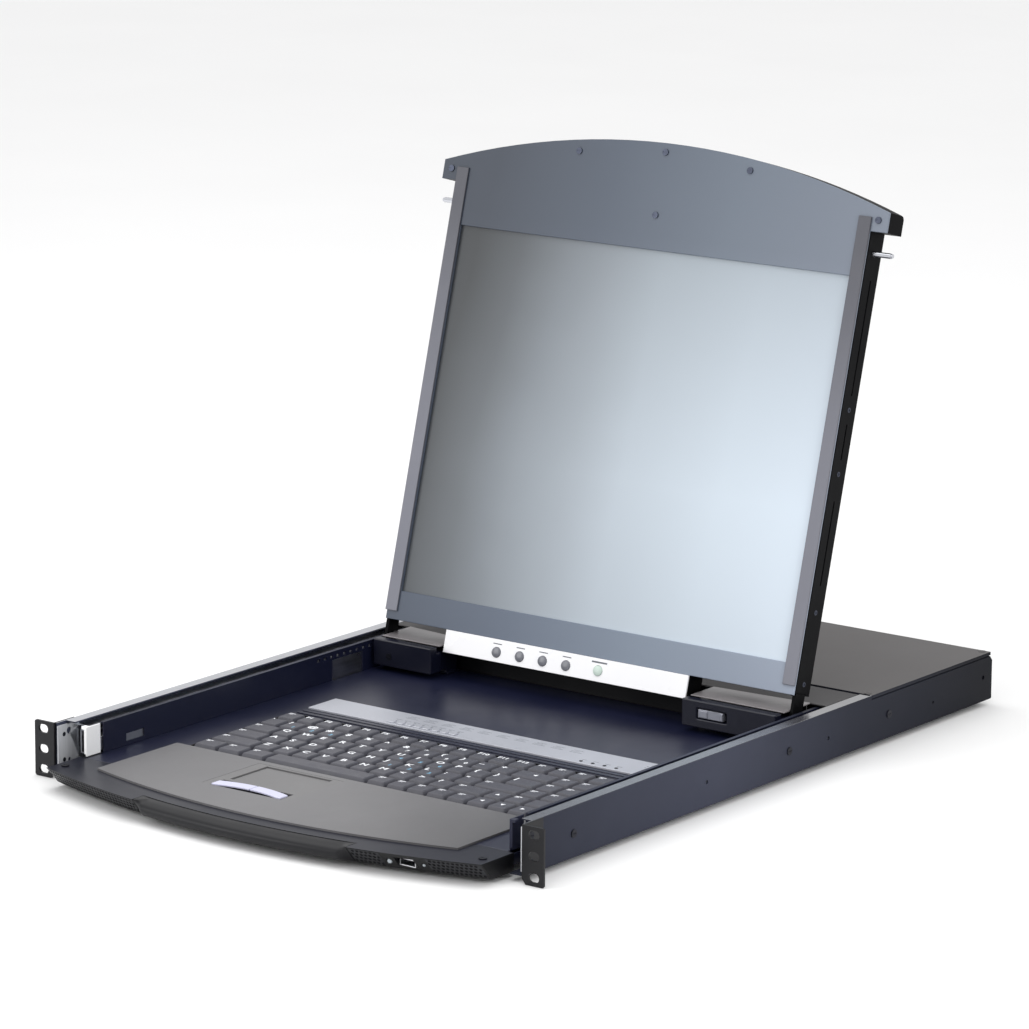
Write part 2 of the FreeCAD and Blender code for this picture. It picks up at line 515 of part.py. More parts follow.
def key(units_left, units, row, low_row_y=None):
    """One key cap: a tapered block standing on the keyboard's rows."""
    o = doc.addObject("Part::Wedge", uid("key"))
    w = "%g*key_unit-key_gap" % units
    d = "key_row-key_gap"
    o.Xmin = o.Ymin = o.Zmin = 0
    o.setExpression("Xmax", ex(w))
    o.setExpression("Ymax", ex("key_top-key_low"))
    o.setExpression("Zmax", ex(d))
    o.X2min = 1.7
    o.setExpression("X2max", ex(w + "-1.7"))
    o.Z2min = 0.9
    o.setExpression("Z2max", ex(d + "-2.3"))
    o.Placement = FreeCAD.Placement(V(0, 0, 0), FreeCAD.Rotation(V(1, 0, 0), 90))
    o.setExpression("Placement.Base.x", ex("%g*key_unit+key_gap/2" % (units_left - 8.5)))
    extra = 1.6 if row == 5 else 0.0
    o.setExpression("Placement.Base.y", ex("87.2+%g*key_row+%g-key_gap" % (row + 1, extra)))
    o.setExpression("Placement.Base.z", ex("key_low"))
    return o


def key_row(row, widths):
    keys, left = [], 0.0
    for w in widths:
        if w > 0:
            keys.append(key(left, w, row))
        left += abs(w)
    return keys


node("function_keys", group(*key_row(5, [1] * 17)))
letters = key_row(4, [1] * 13 + [2, 1, 1]) + key_row(3, [1.5] + [1] * 12 + [1.5, 1, 1]) + key_row(2, [1.75] + [1] * 11 + [2.25, 1, 1]) + key_row(1, [2.25] + [1] * 10 + [1.75, 1, 1, 1])
node("main_keys", group(*letters))
node("bottom_keys", group(*key_row(0, [1.25, 1.25, 1.25, -5.25] + [1] * 8)))
node("space_bar", key(3.75, 5.25, 0))

strip = box("-strip_half", "strip_half", "strip_front", "strip_back", "deck_top+0.05", "strip_top")
PORT_X = [-82 + 8.6 * k for k in range(8)]
port_cuts = [box("%g" % (x - 0.25), "%g" % (x + 6.25), "230.75", "236.25", "deck_top-1", "strip_top+1") for x in PORT_X]
node("port_strip", cut(strip, *port_cuts))
node("port_buttons", group(*[box("%g" % x, "%g" % (x + 6), "231", "236", "deck_top+0.9", "strip_top+0.9") for x in PORT_X]))

usb = cut(box("139.1", "153.6", "-34.4", "-13.6", "7.3", "14.3"), box("139.8", "152.9", "-36", "-16.6", "8.0", "13.6"))
node("usb_port", fuse(usb, box("140.8", "151.9", "-32.6", "-15.6", "11.3", "12.9")))


def hinge_block(x0, x1, bar0, bar1):
    """Cover and seat of one friction hinge: a tall front wall and a low saddle around the barrel."""
    front = box(x0, x1, "block_front", "block_front+8.4", "block_low", "block_top")
    saddle = box(x0, x1, "block_front+8", "396", "block_low", "38.6")
    foot = box(x0, x1, "381", "396", "deck_top+0.05", "block_low+0.1")
    return cut(fuse(front, saddle, foot), cyl("x", bar0, "hinge_y", "hinge_z", "barrel_rad", bar1))


left_block = hinge_block("-196.6", "-137.8", "-197", "37")
left_block = cut(left_block, box("-140", "-137", "372", "397", "20", "45"))
node("hinge_block_left", cut(left_block, cyl("y", "-180.5", "block_front-1", "31", "1.7", "6")))
right_block = hinge_block("109", "196.6", "160", "37")
node("hinge_block_right", cut(right_block, box("123", "151", "block_front-1", "363.2", "29.5", "38")))
node("release_latch", fuse(box("124", "147.4", "358.6", "363", "30.3", "37.2"), box("125.5", "133", "357.6", "358.7", "31", "36.5"), box("145", "147.4", "357.4", "358.7", "31", "36.5")))


def barrel():
    return cut(cyl("x", "160.2", "hinge_y", "hinge_z", "barrel_rad", "36.4"), cyl("x", "159", "hinge_y", "hinge_z", "hinge_bore", "40"))


node("hinge_barrels", group(barrel(), mirror(barrel())))

cover = fuse(box("-196.6", "-138", "370", "401", "lid_top-1.1", "lid_top"), box("109.2", "196.6", "370", "401", "lid_top-1.1", "lid_top"),
             box("-211.4", "211.4", "406", "pan_end", "lid_top-1.1", "lid_top"), box("-196.6", "196.6", "400.5", "406.5", "lid_top-1.1", "lid_top"),
             box("-196.6", "196.6", "400.5", "401.7", "deck_top+0.05", "lid_top-0.5"))
cover_cuts = [cyl("z", str(x), "444", "lid_top-3", "1.6", "5") for x in (-150, 150)]
node("hinge_cover", cut(cover, *cover_cuts))

ds = [screw("z", str(x), "444", "lid_top", 1, head=2.9, high=0.4, shank=1.5, deep=3.0) for x in (-150, 150)]
ds += [screw("y", "-180.5", "block_front", "31", -1, head=2.6, high=0.7, shank=1.6, deep=5)]
ds += [screw("z", str(x), "-14", "deck_top", 1, head=3.2, high=0.9, shank=1.3, deep=2.0) for x in (-198, 198)]
ds += [screw("x", "-pan_half+sheet_thk", str(y), "24", 1, head=2.4, high=0.25, shank=1.0, deep=1.0) for y in (372,)]
node("drawer_screws", group(*ds))


def lever():
    return fuse(box("200.8", "201.9", "13.5", "29.5", "18.3", "41.4"), box("200.8", "203.4", "13.5", "15", "20", "39"), box("200.8", "206", "13.5", "18", "39", "41.4"))


node("slide_releases", group(lever(), mirror(lever())))

# ---------------------------------------------------------------- display
shell = cut(box("-lcd_half", "lcd_half", "bezel_thk+0.1", "lcd_deep", "lcd_low", "lcd_box_top"),
            box("-lcd_half+1.6", "lcd_half-1.6", "bezel_thk", "lcd_deep-1.6", "lcd_low+1.6", "lcd_box_top-1.6"))
shell_cuts = []
for s in (-1, 1):
    a, b = ("lcd_half-4.7", "lcd_half+0.1") if s > 0 else ("-lcd_half-0.1", "-lcd_half+4.7")
    shell_cuts.append(box(a, b, "bezel_thk", "16.4", "lcd_low-0.1", "lcd_low+1.7"))
    c, d = ("lcd_half-2", "6") if s > 0 else ("-lcd_half-4", "6")
    shell_cuts.append(cyl("x", c, "10.5", "320.5", "2.4", d))
    # long edge slot and vents
    e, f = ("lcd_half-2", "lcd_half+1") if s > 0 else ("-lcd_half-1", "-lcd_half+2")
    shell_cuts += [box(e, f, "11.5", "13", a0, a1) for a0, a1 in (("62", "128"), ("160", "188"), ("210", "300"))]
    for t in (-15, 41, 149, 199):
        shell_cuts.append(cyl("x", "lcd_half-2" if s > 0 else "-lcd_half-1", "12", str(t), "2.05", "3"))
for k in range(14):
    shell_cuts.append(box("%g" % (-130 + 20 * k - 6), "%g" % (-130 + 20 * k + 6), "lcd_deep-3", "lcd_deep+1", "296", "299"))
    shell_cuts.append(box("%g" % (-130 + 20 * k - 6), "%g" % (-130 + 20 * k + 6), "lcd_deep-3", "lcd_deep+1", "304", "307"))
    shell_cuts.append(box("%g" % (-130 + 20 * k - 6), "%g" % (-130 + 20 * k + 6), "lcd_deep-3", "lcd_deep+1", "20", "23"))
shell_cuts.append(box("-60", "60", "4", "18", "lcd_low-0.1", "lcd_low+1.7"))
node("lcd_rear_housing", cut(shell, *shell_cuts), SCREEN)


def arc(inset, y0, depth):
    return cyl("y", "0", y0, "arc_top-arc_rad", "arc_rad-%g" % inset, depth)


BEZEL_SCREWS = [(-83, 372.2), (0, 379), (82, 372.3), (0, 328.7), (-206.5, 346), (206, 346)]
front = fuse(common(box("-hand_half", "hand_half", "0", "bezel_thk", "hand_low", "arc_top+1"), arc(0, "0", "bezel_thk")),
             box("-lcd_half+0.5", "lcd_half-0.5", "0", "bezel_thk", "lcd_low", "hand_low+0.2"))
front_cuts = [box("-scr_half", "scr_half", "-1", "bezel_thk+1", "0", "scr_high")]
front_cuts += [cyl("y", str(x), "-1", str(z), "1.5", "4") for x, z in BEZEL_SCREWS]
node("lcd_front_bezel", cut(front, *front_cuts), SCREEN)
node("lcd_side_trim_right", box("trim_in", "trim_out", "-trim_thk", "-0.02", "-17", "348"), SCREEN)
node("lcd_side_trim_left", mirror(box("trim_in", "trim_out", "-trim_thk", "-0.02", "-17", "348")), SCREEN)
node("lcd_panel", fuse(box("-190", "190", "bezel_thk+0.1", "bezel_thk+3", "-3", "304"), box("-188", "188", "bezel_thk+2.9", "11.6", "-1", "302"),
                       box("-120", "90", "11.5", "13.1", "60", "190"), box("-100", "-70", "13", "16", "90", "120"), box("20", "60", "13", "15.5", "120", "160")), SCREEN)

handle = cut(common(fuse(box("-hand_half", "hand_half", "bezel_thk+0.05", "lcd_deep", "lcd_box_top+0.1", "arc_top+1"),
                         box("-hand_half", "-lcd_half-0.1", "bezel_thk+0.05", "lcd_deep", "hand_low", "arc_top"),
                         box("lcd_half+0.1", "hand_half", "bezel_thk+0.05", "lcd_deep", "hand_low", "arc_top")),
                    fuse(arc(0, "0", "lcd_deep-3"),
                         cone("0", "lcd_deep-3", "arc_top-arc_rad", "arc_rad", "arc_rad-0.8", "1.9", "y"),
                         cone("0", "lcd_deep-1.1", "arc_top-arc_rad", "arc_rad-0.8", "arc_rad-2.8", "1.1", "y"))),
             common(box("-hand_half+4", "hand_half-4", "bezel_thk+2", "lcd_deep-2.2", "lcd_box_top-1", "arc_top+1"), arc(3, "0", "lcd_deep")))
handle_cuts = [cyl("y", str(x), "1", str(z), "1.5", "3.2") for x, z in BEZEL_SCREWS if abs(x) < 200 and z > 350]
node("lcd_handle", cut(handle, *handle_cuts), SCREEN)

OSD_X = [-83.8, -60.7, -38.0, -14.9]
OSD_S = -34.6
osd = cut(box("osd_left", "osd_right", "1.05", "osd_deep", "osd_low", "lcd_low-0.05"),
          box("osd_left+1.5", "osd_right-1.5", "0.9", "osd_deep-1.5", "osd_low+1.5", "lcd_low-1.5"),
          box("-59", "59", "4.2", "17.8", "lcd_low-3", "lcd_low+1"))
node("osd_housing", osd, SCREEN)
fascia_cuts = [cyl("y", str(x), "-2", str(OSD_S), "4.4", "5") for x in OSD_X] + [cyl("y", "16.4", "-2", "-33.8", "4.4", "5")]
node("osd_fascia", cut(box("osd_left", "osd_right", "-0.6", "1.0", "osd_low", "lcd_low-0.1"), *fascia_cuts), SCREEN)


def push_button(x, s):
    # domed cap on a flange that keeps it behind the fascia
    cap = common(cyl("y", x, "-1.9", s, "4.1", "3.4"), ball(x, "14", s, "15.9"))
    return fuse(cap, cyl("y", x, "1.4", s, "4.8", "1.2"), cyl("y", x, "2.5", s, "1.5", "3"))


for i, x in enumerate(OSD_X):
    node("osd_button_%d" % (i + 1), push_button(str(x), str(OSD_S)), SCREEN)
node("lcd_power_button", push_button("16.4", "-33.8"), SCREEN)


def hinge_arm():
    # side plate of the display, its foot turning on the hinge pin
    return fuse(box("lcd_half-2.8", "lcd_half", "2.6", "16", "hinge_s+2", "lcd_low+1.4"),
                box("lcd_half-4.6", "lcd_half-1.8", "2.6", "16", "lcd_low-0.6", "12"),
                cyl("x", "lcd_half-2.8", "hinge_n", "hinge_s", "6.5", "2.8"),
                cyl("x", "162", "hinge_n", "hinge_s", "hinge_pin", "lcd_half-2.7-162"))


node("hinge_arms", group(hinge_arm(), mirror(hinge_arm())), SCREEN)


def lock_pin():
    return fuse(cyl("x", "188", "10.5", "320.5", "2.2", "28.0"), cyl("x", "215.9", "10.5", "320.5", "1.7", "1.6"), cyl("x", "186", "10.5", "320.5", "4.2", "3"))


node("lock_pin_right", lock_pin(), SCREEN)
node("lock_pin_left", mirror(lock_pin()), SCREEN)
side_screws = []
for s in (-15, 41, 149, 199):
    side_screws.append(cut(cyl("x", "lcd_half-1.5", "12", str(s), "2", "1.6"), cyl("x", "lcd_half-0.4", "12", str(s), "1.1", "1")))
    side_screws.append(mirror(cut(cyl("x", "lcd_half-1.5", "12", str(s), "2", "1.6"), cyl("x", "lcd_half-0.4", "12", str(s), "1.1", "1"))))
node("lcd_screws", group(*side_screws, *[screw("y", str(x), "0", str(z), -1, head=2.7, high=0.9, shank=1.35, deep=2.6 if abs(x) < 200 and z > 350 else 1.9) for x, z in BEZEL_SCREWS]), SCREEN)

# ---------------------------------------------------------------- check and write
doc.recompute()
bad = [o.Name for o in doc.Objects if "Invalid" in o.State or "Error" in o.State]
if bad:
    raise SystemExit("failed objects: %s" % bad)
labels = set()
for o in NODES:
    s = o.Shape
    if s.isNull() or not s.isValid() or not s.Solids:
        raise SystemExit("bad shape: %s" % o.Label)
    if o.Label in labels:
        raise SystemExit("two sub-parts share a label: %s" % o.Label)
    labels.add(o.Label)
    if any(x.Volume <= 0 for x in s.Solids):
        raise SystemExit("inside-out solid: %s" % o.Label)
if len(NODES) > 60:
    raise SystemExit("too many sub-parts: %d" % len(NODES))
os.makedirs("parts", exist_ok=True)
for o in NODES:
    o.Shape.exportStep("parts/%s.step" % o.Label)
    b = o.Shape.BoundBox
    print("%-24s solids %3d  vol %10.1f  x %.1f..%.1f  y %.1f..%.1f  z %.1f..%.1f" % (
        o.Label, len(o.Shape.Solids), o.Shape.Volume, b.XMin, b.XMax, b.YMin, b.YMax, b.ZMin, b.ZMax))
print("sub-parts:", len(NODES))
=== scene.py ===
import bpy
import bmesh
import json
import math
from mathutils import Matrix, Vector, noise


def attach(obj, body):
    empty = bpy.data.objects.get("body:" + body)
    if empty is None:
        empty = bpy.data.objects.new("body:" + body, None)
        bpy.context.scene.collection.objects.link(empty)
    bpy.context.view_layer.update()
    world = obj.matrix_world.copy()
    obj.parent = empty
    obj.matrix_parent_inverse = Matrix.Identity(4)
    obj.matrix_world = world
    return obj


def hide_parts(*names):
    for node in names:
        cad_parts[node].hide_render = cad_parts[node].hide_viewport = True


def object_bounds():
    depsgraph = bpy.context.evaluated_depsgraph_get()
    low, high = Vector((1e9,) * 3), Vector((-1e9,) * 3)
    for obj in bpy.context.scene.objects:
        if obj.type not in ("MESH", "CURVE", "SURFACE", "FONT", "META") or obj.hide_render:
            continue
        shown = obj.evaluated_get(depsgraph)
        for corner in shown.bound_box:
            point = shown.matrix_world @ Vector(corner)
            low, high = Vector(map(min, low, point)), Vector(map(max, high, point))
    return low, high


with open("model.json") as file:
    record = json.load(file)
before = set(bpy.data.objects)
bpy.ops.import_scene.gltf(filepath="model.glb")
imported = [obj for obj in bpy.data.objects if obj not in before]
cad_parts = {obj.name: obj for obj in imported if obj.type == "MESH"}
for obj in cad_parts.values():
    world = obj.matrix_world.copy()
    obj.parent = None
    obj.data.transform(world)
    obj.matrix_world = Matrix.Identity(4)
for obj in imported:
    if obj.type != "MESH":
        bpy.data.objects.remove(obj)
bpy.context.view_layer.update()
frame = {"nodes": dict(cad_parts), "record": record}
NODES = frame["nodes"]

SHIFT = 0.022225                      # slot bottom to the model's origin
TILT = math.radians(15)
CT, ST = math.cos(TILT), math.sin(TILT)


def P(x, y, z):
    """Millimetres from the slot's bottom and the ears' front faces, to the row frame."""
    return Vector((x / 1000, y / 1000, z / 1000 - SHIFT))


def L(x, n, s):
    """Millimetres in the display's own frame (n behind its front, s up the screen) to the row frame."""
    return P(x, 383.88 + n * CT + s * ST, 79.8 - n * ST + s * CT)


# ------------------------------------------------------------------ materials
def new_mat(name):
    m = bpy.data.materials.new(name)
    m.use_nodes = True
    nt = m.node_tree
    for n in list(nt.nodes):
        if n.type not in ("BSDF_PRINCIPLED", "OUTPUT_MATERIAL"):
            nt.nodes.remove(n)
    b = [n for n in nt.nodes if n.type == "BSDF_PRINCIPLED"][0]
    return m, nt, b


def tex_coord(nt):
    t = nt.nodes.new("ShaderNodeTexCoord")
    return t.outputs["Object"]


def noise_node(nt, vec, scale, detail=3.0, rough=0.5, distort=0.0):
    n = nt.nodes.new("ShaderNodeTexNoise")
    n.inputs["Scale"].default_value = scale
    n.inputs["Detail"].default_value = detail
    n.inputs["Roughness"].default_value = rough
    n.inputs["Distortion"].default_value = distort
    nt.links.new(vec, n.inputs["Vector"])
    return n.outputs["Fac"]


def ramp(nt, fac, stops):
    r = nt.nodes.new("ShaderNodeValToRGB")
    el = r.color_ramp.elements
    while len(el) < len(stops):
        el.new(0.5)
    for e, (p, c) in zip(el, stops):
        e.position = p
        e.color = tuple(c) + (1.0,) if len(c) == 3 else c
    nt.links.new(fac, r.inputs["Fac"])
    return r.outputs["Color"]


def mapped(nt, fac, lo, hi, f0=0.0, f1=1.0):
    r = nt.nodes.new("ShaderNodeMapRange")
    r.inputs["From Min"].default_value = f0
    r.inputs["From Max"].default_value = f1
    r.inputs["To Min"].default_value = lo
    r.inputs["To Max"].default_value = hi
    nt.links.new(fac, r.inputs["Value"])
    return r.outputs["Result"]


def bump(nt, b, height, strength, distance):
    n = nt.nodes.new("ShaderNodeBump")
    n.inputs["Strength"].default_value = strength
    n.inputs["Distance"].default_value = distance
    nt.links.new(height, n.inputs["Height"])
    nt.links.new(n.outputs["Normal"], b.inputs["Normal"])
    return n


def srgb(r, g, b):
    return tuple((c / 255 / 12.92) if c / 255 <= 0.04045 else ((c / 255 + 0.055) / 1.055) ** 2.4 for c in (r, g, b))


def surface(name, colour, rough, metallic=0.0, grain=900.0, grain_bump=0.06, vary=0.12, cloud=14.0, rough_vary=0.08, coat=0.0, coat_rough=0.1, spec=0.5, smudge=0.0):
    """A painted or moulded surface: fine grain in the relief, slow changes of tone and gloss."""
    m, nt, b = new_mat(name)
    vec = tex_coord(nt)
    slow = noise_node(nt, vec, cloud, 4.0, 0.55)
    fine = noise_node(nt, vec, grain, 2.0, 0.6)
    c = Vector(colour)
    col = ramp(nt, slow, [(0.3, tuple(c * (1 - vary))), (0.7, tuple(Vector((min(1, v) for v in c * (1 + vary)))))])
    if smudge:
        wipe = noise_node(nt, vec, cloud * 3.1, 6.0, 0.7, 0.6)
        mix = nt.nodes.new("ShaderNodeMix")
        mix.data_type = "RGBA"
        mix.blend_type = "MIX"
        nt.links.new(mapped(nt, wipe, 0.0, smudge, 0.45, 0.75), mix.inputs["Factor"])
        nt.links.new(col, mix.inputs["A"])
        mix.inputs["B"].default_value = tuple(min(1, v * 1.35 + 0.01) for v in c) + (1,)
        col = mix.outputs["Result"]
    nt.links.new(col, b.inputs["Base Color"])
    nt.links.new(mapped(nt, slow, rough - rough_vary, rough + rough_vary, 0.3, 0.7), b.inputs["Roughness"])
    b.inputs["Metallic"].default_value = metallic
    b.inputs["Specular IOR Level"].default_value = spec
    if coat:
        b.inputs["Coat Weight"].default_value = coat
        b.inputs["Coat Roughness"].default_value = coat_rough
    bump(nt, b, fine, grain_bump, 0.0003)
    return m


def brushed(name, colour, rough, axis="y", scale=400.0, metallic=1.0):
    """Drawn sheet metal: streaks along one axis."""
    m, nt, b = new_mat(name)
    vec = tex_coord(nt)
    mp = nt.nodes.new("ShaderNodeMapping")
    sc = {"x": (0.02, 1, 1), "y": (1, 0.02, 1), "z": (1, 1, 0.02)}[axis]
    mp.inputs["Scale"].default_value = sc
    nt.links.new(vec, mp.inputs["Vector"])
    streak = noise_node(nt, mp.outputs["Vector"], scale, 4.0, 0.7)
    spang = noise_node(nt, vec, 40.0, 3.0, 0.6)
    c = Vector(colour)
    col = ramp(nt, streak, [(0.25, tuple(c * 0.8)), (0.75, tuple(Vector((min(1, v) for v in c * 1.12))))])
    nt.links.new(col, b.inputs["Base Color"])
    nt.links.new(mapped(nt, spang, rough - 0.07, rough + 0.1, 0.3, 0.7), b.inputs["Roughness"])
    b.inputs["Metallic"].default_value = metallic
    bump(nt, b, streak, 0.08, 0.0002)
    return m


M = {}
M["case"] = surface("case_paint", srgb(22, 25, 42), 0.34, grain=1500, grain_bump=0.05, vary=0.1, cloud=6, spec=0.2, smudge=0.25)
# painted reflection: the side plates' top faces are grey instead of the navy paint, for the bright surroundings
# reflected at a grazing angle; the left one is painted lighter still
M["flange"] = surface("flange_painted_reflection", srgb(70, 70, 76), 0.26, grain=1500, grain_bump=0.04, vary=0.08, cloud=6, spec=0.9, coat=0.8, coat_rough=0.2)
M["flangelit"] = surface("flange_painted_reflection_left", srgb(150, 152, 158), 0.3, grain=1500, grain_bump=0.04, vary=0.08, cloud=6, spec=0.9, coat=0.6, coat_rough=0.2)
M["innerwall"] = surface("inner_wall_paint", srgb(46, 50, 70), 0.28, grain=1500, grain_bump=0.05, vary=0.14, cloud=9, spec=0.6, smudge=0.3)
M["tab"] = brushed("zinc_tab", srgb(196, 198, 202), 0.42, "z", 260, metallic=0.25)
# painted shade: a darker copy of the cover paint for the hinge cover, which lies in the display's shade
M["hcover"] = surface("hinge_cover_painted_shade", srgb(80, 79, 80), 0.66, grain=1100, grain_bump=0.3, vary=0.05, cloud=10, spec=0.2)
M["levernavy"] = surface("lever_navy", srgb(40, 42, 60), 0.4, grain=1500, grain_bump=0.06, vary=0.08, spec=0.3)
# painted reflection: the top faces of the hinge cover's side plates are a lighter grey, for the bright background they
# reflect
M["hingeplate"] = surface("hinge_plate_painted_reflection", srgb(128, 124, 126), 0.36, metallic=0.2, grain=1500, grain_bump=0.08, vary=0.08, cloud=14, spec=0.6, smudge=0.2)
M["inner"] = surface("inner_paint", srgb(20, 23, 44), 0.32, grain=1500, grain_bump=0.05, vary=0.1, cloud=8, spec=0.4, smudge=0.2)
M["ear"] = surface("ear_paint", srgb(14, 14, 18), 0.42, grain=1800, grain_bump=0.10, vary=0.1, spec=0.3, smudge=0.3)
M["cover"] = surface("cover_paint", srgb(99, 97, 97), 0.66, grain=1100, grain_bump=0.3, vary=0.05, cloud=10, spec=0.25)
M["deck"] = surface("deck_gloss", srgb(14, 18, 44), 0.36, grain=1200, grain_bump=0.04, vary=0.12, cloud=7, spec=0.6, smudge=0.25)
M["bezel"] = surface("bezel_black", srgb(9, 9, 12), 0.42, grain=1600, grain_bump=0.10, vary=0.08, spec=0.3)
M["gripnet"] = surface("grip_rubber", srgb(27, 28, 33), 0.42, grain=1600, grain_bump=0.06, vary=0.06, spec=0.4)
M["bezeltop"] = surface("bezel_top_navy", srgb(23, 25, 37), 0.4, grain=1600, grain_bump=0.06, vary=0.07, cloud=9, spec=0.35, smudge=0.15)
M["handle"] = surface("handle_black", srgb(18, 18, 22), 0.38, grain=1800, grain_bump=0.06, vary=0.06, spec=0.28)
M["palm"] = surface("palm_grey", srgb(112, 111, 113), 0.45, grain=1800, grain_bump=0.18, vary=0.05, cloud=9, spec=0.5, smudge=0.12)
M["pad"] = surface("touchpad_grey", srgb(112, 111, 112), 0.42, grain=2400, grain_bump=0.08, vary=0.03, spec=0.4)
M["padframe"] = surface("touchpad_frame", srgb(30, 30, 34), 0.4, grain=2000, grain_bump=0.08, vary=0.04)
M["lavender"] = surface("button_lavender", srgb(206, 206, 230), 0.3, grain=2000, grain_bump=0.04, vary=0.03, coat=0.2)
M["key"] = surface("key_dark", srgb(74, 74, 82), 0.45, grain=2600, grain_bump=0.2, vary=0.1, cloud=90, spec=0.45)
M["keybase"] = surface("keyboard_black", srgb(8, 8, 12), 0.5, grain=2000, grain_bump=0.1, vary=0.08, spec=0.3)
M["strip"] = surface("strip_silver", srgb(180, 182, 190), 0.34, metallic=0.2, grain=2200, grain_bump=0.08, vary=0.05)
M["white"] = surface("lever_white", srgb(252, 253, 255), 0.35, grain=1500, grain_bump=0.04, vary=0.03, coat=0.2, smudge=0.1)
M["leverdark"] = surface("lever_black", srgb(16, 17, 22), 0.4, grain=1500, grain_bump=0.06, vary=0.08, spec=0.3)
M["block"] = surface("block_navy", srgb(14, 16, 32), 0.34, grain=1800, grain_bump=0.07, vary=0.08, spec=0.4, smudge=0.15)
M["latch"] = surface("latch_silver", srgb(150, 152, 162), 0.35, metallic=0.4, grain=1800, grain_bump=0.06, vary=0.05)
M["lcdblack"] = surface("lcd_housing_black", srgb(5, 5, 7), 0.55, grain=1500, grain_bump=0.1, vary=0.1, spec=0.08)
M["osd"] = surface("osd_white", srgb(248, 248, 250), 0.28, grain=2000, grain_bump=0.03, vary=0.015, coat=0.3)
M["osdbtn"] = surface("osd_button_grey", srgb(112, 114, 122), 0.3, grain=2500, grain_bump=0.05, vary=0.04, coat=0.4)
M["lamp"] = surface("lamp_button", srgb(206, 224, 214), 0.3, grain=2500, grain_bump=0.03, vary=0.02, coat=0.3)
M["trim"] = surface("lcd_trim_silver", srgb(112, 113, 122), 0.4, metallic=0.35, grain=2600, grain_bump=0.08, vary=0.03, cloud=5)
M["zinc"] = brushed("zinc_steel", srgb(206, 209, 214), 0.34, "y", 220)
M["slide"] = brushed("slide_steel", srgb(190, 192, 198), 0.32, "y", 350)
M["cage"] = brushed("cage_steel", srgb(150, 150, 155), 0.4, "y", 300)
M["screwd"] = brushed("screw_dark", srgb(30, 31, 40), 0.4, "y", 600, metallic=0.7)
M["screwb"] = brushed("screw_bright", srgb(70, 74, 86), 0.32, "y", 600)
M["pin"] = brushed("pin_steel", srgb(206, 208, 214), 0.22, "x", 700)
M["pcb"] = surface("circuit_board", srgb(16, 62, 32), 0.4, grain=500, grain_bump=0.1, vary=0.2, cloud=60, coat=0.4)
M["conn"] = surface("connector_black", srgb(14, 14, 16), 0.42, grain=1800, grain_bump=0.1, vary=0.05, spec=0.35)
M["socket"] = brushed("socket_metal", srgb(196, 197, 200), 0.3, "y", 500)
M["hinge"] = brushed("hinge_steel", srgb(96, 98, 104), 0.32, "x", 500)
# near-black: the strip lamps' own colour, and painted shade in the grip dimples and the hinge cavity
M["shade"] = surface("lamp_black_and_painted_shade", srgb(7, 7, 11), 0.55, grain=1500, grain_bump=0.08, vary=0.1, spec=0.2)
M["ink"] = surface("legend_white", srgb(244, 246, 250), 0.55, grain=3000, grain_bump=0.05, vary=0.04)
M["inkblue"] = surface("legend_blue", srgb(120, 176, 206), 0.55, grain=3000, grain_bump=0.05, vary=0.05)
M["inkgrey"] = surface("print_grey", srgb(104, 108, 116), 0.5, grain=3000, grain_bump=0.05, vary=0.05)
M["lens"] = surface("lamp_lens", srgb(168, 176, 182), 0.18, grain=3000, grain_bump=0.02, vary=0.05, coat=0.8, coat_rough=0.05)


def painted_reflection_finish(name, stops, slope, rough, spec, metallic=0.0, coat=0.0, fine_bump=0.03, top_shade=1.0):
    """The display's front with painted reflection: its tone grows paler from one side to the other and darker towards
    the top, standing for the bright surroundings reflected in it, with a fine matt grain.
    """
    m, nt, b = new_mat(name)
    vec = tex_coord(nt)
    sep = nt.nodes.new("ShaderNodeSeparateXYZ")
    nt.links.new(vec, sep.inputs["Vector"])
    cx = nt.nodes.new("ShaderNodeMath"); cx.operation = "MULTIPLY_ADD"
    nt.links.new(sep.outputs["X"], cx.inputs[0]); cx.inputs[1].default_value = 1 / 0.43; cx.inputs[2].default_value = 0.5
    cz = nt.nodes.new("ShaderNodeMath"); cz.operation = "MULTIPLY_ADD"
    nt.links.new(sep.outputs["Z"], cz.inputs[0]); cz.inputs[1].default_value = -slope
    nt.links.new(cx.outputs[0], cz.inputs[2])
    drift = noise_node(nt, vec, 5.0, 3.0, 0.5)
    dm = nt.nodes.new("ShaderNodeMath"); dm.operation = "MULTIPLY_ADD"
    nt.links.new(mapped(nt, drift, -0.02, 0.02, 0.3, 0.7), dm.inputs[0]); dm.inputs[1].default_value = 1.0
    nt.links.new(cz.outputs[0], dm.inputs[2])
    tone = nt.nodes.new("ShaderNodeMix")
    tone.data_type = "RGBA"
    tone.blend_type = "MULTIPLY"
    tone.inputs["Factor"].default_value = 1.0
    nt.links.new(ramp(nt, dm.outputs[0], stops), tone.inputs["A"])
    # painted shade: the colour darkens towards the top of the display
    nt.links.new(mapped(nt, sep.outputs["Z"], 1.0, top_shade, 0.17, 0.36), tone.inputs["B"])
    nt.links.new(tone.outputs["Result"], b.inputs["Base Color"])
    fine = noise_node(nt, vec, 2600, 2.0, 0.6)
    nt.links.new(mapped(nt, fine, rough - 0.03, rough + 0.05, 0.3, 0.7), b.inputs["Roughness"])
    b.inputs["Specular IOR Level"].default_value = spec
    b.inputs["Metallic"].default_value = metallic
    if coat:
        b.inputs["Coat Weight"].default_value = coat
        b.inputs["Coat Roughness"].default_value = 0.25
    bump(nt, b, fine, fine_bump, 0.0002)
    return m


